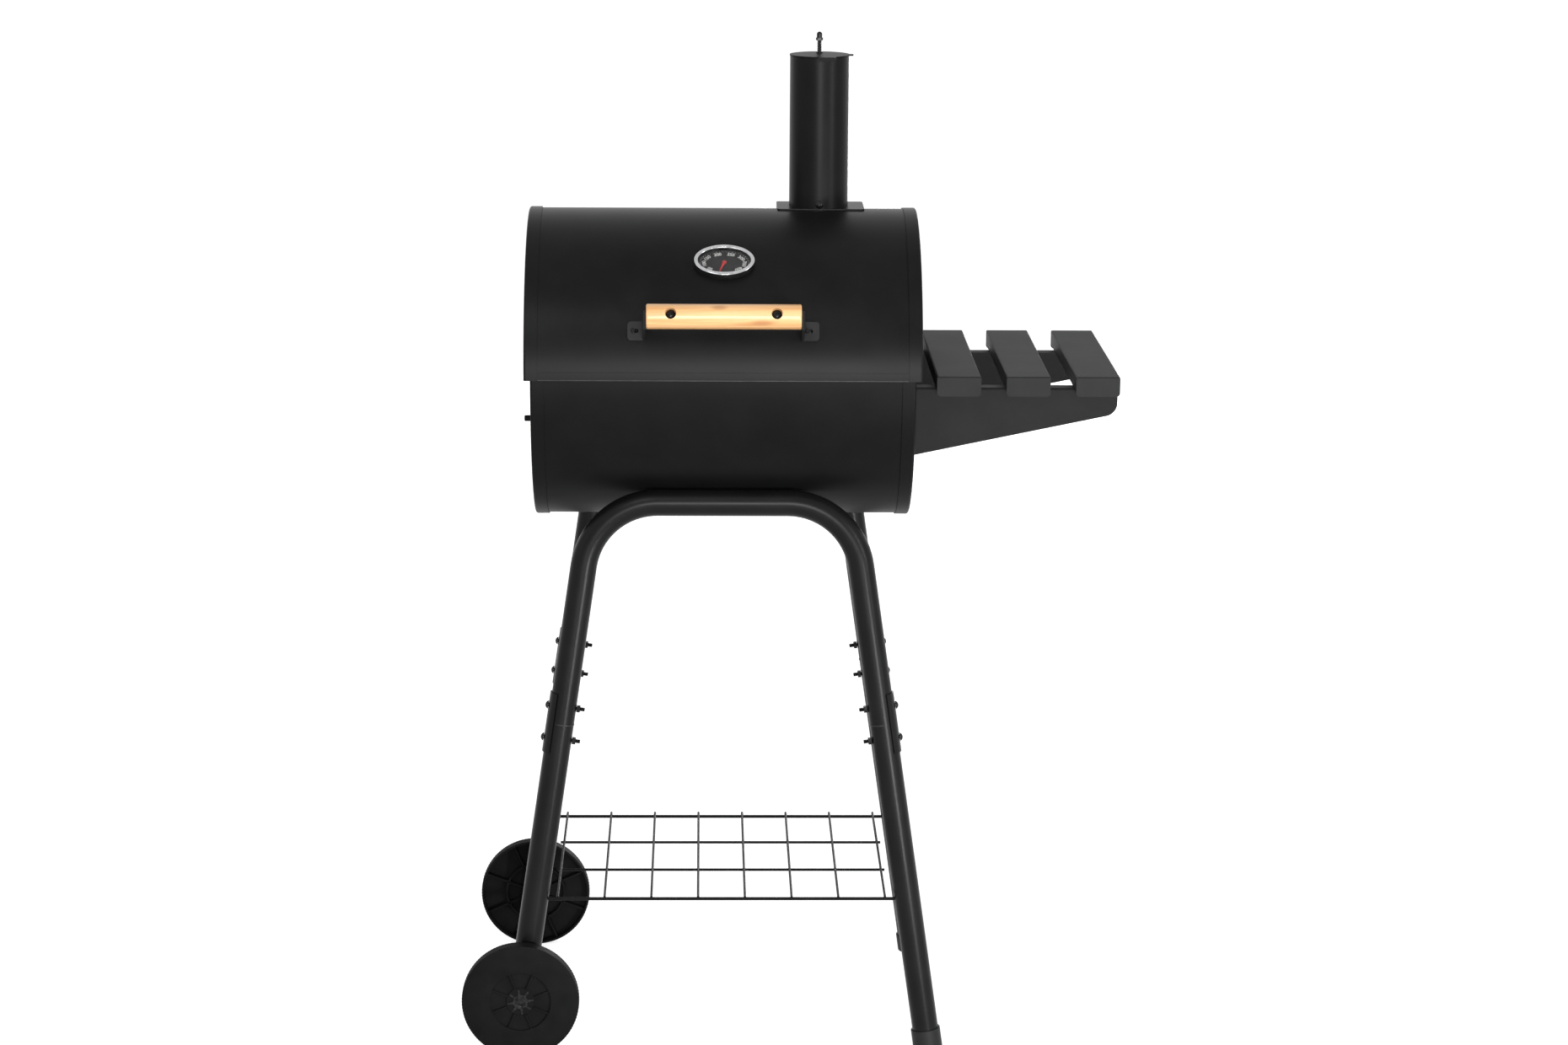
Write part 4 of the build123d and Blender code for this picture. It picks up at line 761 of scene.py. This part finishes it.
# ---- stack damper -----------------------------------------------------------------------------------------
# A painted disc turns on a bolt that a strap inside the stack holds. A wound spring under a domed
# nut keeps the disc where it is set.
spring_wire = 0.00042
spring_turns = 9
spring_steps = 24  # to a turn
wire_sides = 12
coat(barrel_paint, "damper_strap", "damper_disc")
coat(black_oxide, "damper_washer", "damper_bolt", "damper_nut")
spring_low, spring_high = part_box("damper_spring")
spring_length = spring_high.z - spring_low.z
spring_radius = (spring_high.x - spring_low.x) / 2 - spring_wire
bpy.ops.object.select_all(action="DESELECT")
bpy.ops.mesh.primitive_circle_add(
    vertices=wire_sides, radius=spring_wire, location=(0, 0, 0), fill_type="NOTHING"
)
spring = bpy.context.object
spring.name = "damper_spring_coil"
spring.rotation_euler = (pi / 2, 0, 0)
bpy.ops.object.transform_apply()
spring.data.transform(Matrix.Translation((spring_radius, 0, spring_wire)))
winding = spring.modifiers.new("winding", "SCREW")
winding.angle = tau * spring_turns
winding.screw_offset = spring_length - 2 * spring_wire
winding.steps = winding.render_steps = spring_steps * spring_turns
winding.use_merge_vertices = True
bpy.ops.object.modifier_apply(modifier="winding")
bpy.ops.object.mode_set(mode="EDIT")
bpy.ops.mesh.select_all(action="SELECT")
bpy.ops.mesh.fill_holes(sides=wire_sides)
bpy.ops.mesh.select_all(action="SELECT")
bpy.ops.mesh.normals_make_consistent(inside=False)
bpy.ops.object.mode_set(mode="OBJECT")
smoothed(spring, 60)
spring_foot = ((spring_low.x + spring_high.x) / 2, (spring_low.y + spring_high.y) / 2, spring_low.z)
spring.data.transform(Matrix.Translation(spring_foot))
dress(spring, black_oxide, "damper", "black_fastener", "damper_spring")

# ---- tube frames ------------------------------------------------------------------------------------------
# Two bent arches with plugged-in lower legs in a slightly glossier black powder coat, with a pale
# painted highlight line where the tubes meet. Screws and chamfered nuts go through splints over each joint.
frame_paint = finish(
    "frame_paint", (0.0050, 0.0050, 0.0051), (0.0072, 0.0072, 0.0073),
    roughness=(0.28, 0.36), cloud=45, grain=1.1, depth=0.03, specular=0.115,
)
coat(frame_paint, "front_arch", "rear_arch", "joint_plates")
coat(frame_paint, "leg_front_left", "leg_front_right", "leg_rear_left", "leg_rear_right")
coat(dull_steel, "joint_sleeves")
screws("arch_screws", "arch_bolts", screw_head, black_oxide, "stand", "black_fastener")
screws("joint_screws", "joint_bolts", screw_head, black_oxide, "stand", "black_fastener")

nut_seats = []
for spots in loose_parts("joint_nuts"):
    middle, way = axis_of(spots)
    half = np.abs((spots - middle) @ way).max()
    corner = spots[np.argmax(np.linalg.norm(spots - middle, axis=1))] - middle
    corner_way = Vector(corner - (corner @ way) * way).normalized()
    z_way = Vector(way)
    nut_turn = facing(corner_way, z_way.cross(corner_way), z_way)
    nut_seats.append(Matrix.Translation(Vector(middle) - z_way * half) @ nut_turn)
bore_radius = screw_shank + 0.05
nut_bore = turned("nut_bore", [(0, -1), (bore_radius, -1), (bore_radius, 6), (0, 6)], 32)
nut_model = cut(hexagon_nut("joint_nut", nut_flats, nut_height), nut_bore)
tapped_nuts = copied(nut_model, "tapped_nuts", nut_seats)
dress(tapped_nuts, black_oxide, "stand", "black_fastener", "joint_nuts")

seam_seats = []
for spots in loose_parts("joint_sleeves"):
    middle, way = axis_of(spots)
    seam_seats.append(Matrix.Translation(Vector(middle)) @ upright(way))
# A pale ring at each tube joint: a painted highlight line.
seam_model = turned(
    "seam", [(15.7, -0.45), (16.02, -0.4), (16.16, 0), (16.02, 0.4), (15.7, 0.45), (15.7, -0.45)], 64
)
tube_seams = copied(seam_model, "tube_seams", seam_seats)
dress(tube_seams, painted_highlight_paint, "stand", "frame_paint")

# ---- foot caps --------------------------------------------------------------------------------------------
# The right legs stand on cups moulded in black plastic, which are pushed on the ends of their
# tubes.
cap_plastic = finish(
    "cap_plastic", (0.011, 0.011, 0.0112), (0.016, 0.016, 0.0162),
    roughness=(0.42, 0.55), cloud=18, grain=0.7, depth=0.05, specular=0.14,
)
coat(cap_plastic, "foot_cap_front", "foot_cap_rear")

# ---- wheels and axle --------------------------------------------------------------------------------------
# Each wheel is one moulding: a closed face with a shallow ribbed recess round a boss, a finely
# toothed tread, and a hollow back with deep ribs. The axle is blackened steel, and a sprung star
# washer is pushed on each of its ends.
wheel_teeth = 115
tooth_depth = 1.0  # in millimetres, as is the radius
wheel_radius = 71.5
rib_start = 21  # degrees
rib_count = 8
rib_rounding = 0.0003
wheel_ribs = (  # inner and outer end, front and back edge, and wall, in the face and in the hollow back
    (17.2, 37.0, -0.1, -3.2, 1.6),
    (9.5, 69.2, -2.3, -13, 2.0),
)
wheel_plastic = finish(
    "wheel_plastic", (0.0070, 0.0070, 0.0071), (0.0098, 0.0098, 0.0099),
    roughness=(0.48, 0.60), cloud=25, grain=0.8, depth=0.06, specular=0.034,
)
bore = 5.05
wheel_section = [
    (bore, -1.5), (16.9, -1.5), (17.5, -2.0), (17.5, -3), (36.4, -3), (36.8, -2.6), (36.8, -0.5), (37.3, 0),
    (70.0, 0), (71.0, -0.5), (wheel_radius, -1.5), (wheel_radius, -15.5), (71.0, -16.5), (70.0, -17),
    (68.5, -17), (68.5, -2.5), (39.3, -2.5), (39.3, -13), (36.8, -13), (36.8, -5.5), (10, -5.5), (10, -21.6),
    (9.6, -22), (bore, -22), (bore, -1.5),
]


def moulded_wheel(name):
    """The wheel with its face on the origin, looking up the z axis."""
    wheel = turned(name, wheel_section, wheel_teeth * 2)
    bpy.ops.object.mode_set(mode="EDIT")
    bpy.ops.mesh.select_mode(type="VERT")
    bpy.ops.mesh.select_all(action="DESELECT")
    bpy.ops.object.mode_set(mode="OBJECT")
    for spot in wheel.data.vertices:
        flat_spot = Vector((spot.co.x, spot.co.y))
        column = round(flat_spot.angle_signed(Vector((1, 0)), 0) / tau * wheel_teeth * 2)
        spot.select = flat_spot.length > (wheel_radius - 0.1) / 1000 and column % 2 == 0
    bpy.ops.object.mode_set(mode="EDIT")
    groove = 1 - tooth_depth / wheel_radius
    bpy.ops.transform.resize(value=(groove, groove, 1), center_override=(0, 0, 0))
    bpy.ops.object.mode_set(mode="OBJECT")
    ribs = []
    for number in range(rib_count):
        for near, far, front, back, wall in wheel_ribs:
            rib = block((far - near, wall, front - back), ((far + near) / 2, 0, (front + back) / 2))
            softened(rib, rib_rounding, 2)
            rib.data.transform(Matrix.Rotation(radians(rib_start + 360 / rib_count * number), 4, "Z"))
            ribs.append(rib)
    return joined(wheel, *ribs)


def on_axle(box, end):
    """Matrix of something on the axle, its z axis out of the grill, at the outer side of a node's box."""
    low, high = box
    middle = Vector(((low.x + high.x) / 2, low.y if end < 0 else high.y, (low.z + high.z) / 2))
    return Matrix.Translation(middle) @ facing(Vector((1, 0, 0)), Vector((0, 0, -end)), Vector((0, end, 0)))


for end, side in ((-1, "front"), (1, "rear")):
    wheel_seat = on_axle(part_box(f"wheel_{side}"), end)
    moulding = copied(moulded_wheel("wheel"), f"moulded_wheel_{side}", [wheel_seat])
    dress(moulding, wheel_plastic, f"wheel_{side}", "wheel_plastic", f"wheel_{side}")

axle_steel = finish(
    "axle_steel", (0.012, 0.012, 0.0122), (0.03, 0.03, 0.0302),
    roughness=(0.24, 0.40), cloud=5, grain=0.6, depth=0.02, metallic=1.0,
)
coat(axle_steel, "axle", "axle_washers")

star_points = 8
star_start = 8  # degrees
star_root = 9.0  # in millimetres, as are the next five values
star_heel = 8.0  # a point starts under the ring
star_tip = 15.9
star_width = 3.4
star_sheet = 0.6
star_sink = 0.52
star_model = turned(
    "star_washer",
    [(5.3, -0.9), (star_root, -0.9), (star_root, -0.2), (6.2, -0.02), (5.3, -0.25), (5.3, -0.9)],
    star_points * 4,
)
for number in range(star_points):
    star_size = (star_tip - star_heel, star_width, star_sheet)
    star_point = block(star_size, ((star_tip + star_heel) / 2, 0, -star_sink))
    tapered(star_point, (1, 0, 0), (1, 0.55, 0.8), shift=(0, 0, -0.00012))
    star_point.data.transform(Matrix.Rotation(radians(star_start + number * 360 / star_points), 4, "Z"))
    joined(star_model, star_point)
washer_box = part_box("push_nuts")
star_washers = copied(star_model, "star_washers", [on_axle(washer_box, end) for end in (-1, 1)])
sprung_steel = finish(
    "sprung_steel", (0.013, 0.013, 0.0135), (0.038, 0.038, 0.039),
    roughness=(0.20, 0.32), cloud=3, grain=0.5, depth=0.03, metallic=1.0,
)
dress(star_washers, sprung_steel, "stand", "gauge_chrome", "push_nuts")

# ---- wire rack --------------------------------------------------------------------------------------------
# Black coated rods with cross wires laid over them; each crossing is spot welded, which leaves a
# small flattened bead.
wire_paint = finish(
    "wire_paint", (0.0050, 0.0050, 0.0051), (0.0080, 0.0080, 0.0081),
    roughness=(0.40, 0.50), cloud=20, grain=0.8, depth=0.03, specular=0.06,
)
coat(wire_paint, "wire_rack")
rods = []
cross_wires = []
for spots in loose_parts("wire_rack"):
    low, high = Vector(spots.min(axis=0)), Vector(spots.max(axis=0))
    (rods if high.x - low.x > high.y - low.y else cross_wires).append((low, high))
bead_model = turned("bead", [(0, -0.7), (1.3, -0.55), (1.9, 0), (1.3, 0.55), (0, 0.7)], 12)
bead_seats = [
    Matrix.Translation(((wire[0].x + wire[1].x) / 2, (rod[0].y + rod[1].y) / 2, rod[1].z))
    for wire in cross_wires
    for rod in rods
    if wire[0].x > rod[0].x and wire[1].x < rod[1].x
]
weld_beads = copied(bead_model, "weld_beads", bead_seats)
dress(weld_beads, wire_paint, "stand", "wire_paint")

# ---- side shelf -------------------------------------------------------------------------------------------
# Two brackets folded from sheet carry three slats that are folded from sheet too, all in one dark grey
# powder coat. The slats are painted lighter as painted light, and the brackets darker as painted shade
# under the slats' front flaps.
# The slats' grey is painted lighter than the brackets': painted light on the slats.
shelf_paint = finish(
    "shelf_paint", (0.018, 0.018, 0.0182), (0.024, 0.024, 0.0242),
    roughness=(0.48, 0.58), cloud=50, grain=0.9, depth=0.03, specular=0.09,
)
coat(shelf_paint, "shelf_slat_1", "shelf_slat_2", "shelf_slat_3")
# The brackets' grey is painted darker than the slats': painted shade under the flaps.
shaded_bracket_paint = finish(
    "shaded_bracket_paint", (0.0105, 0.0105, 0.0106), (0.0145, 0.0145, 0.0146),
    roughness=(0.46, 0.56), cloud=50, grain=0.9, depth=0.03, specular=0.08,
)
coat(shaded_bracket_paint, "shelf_bracket_front", "shelf_bracket_rear")
screws("shelf_screws", "shelf_bolts", screw_head, black_oxide, "stand", "black_fastener")
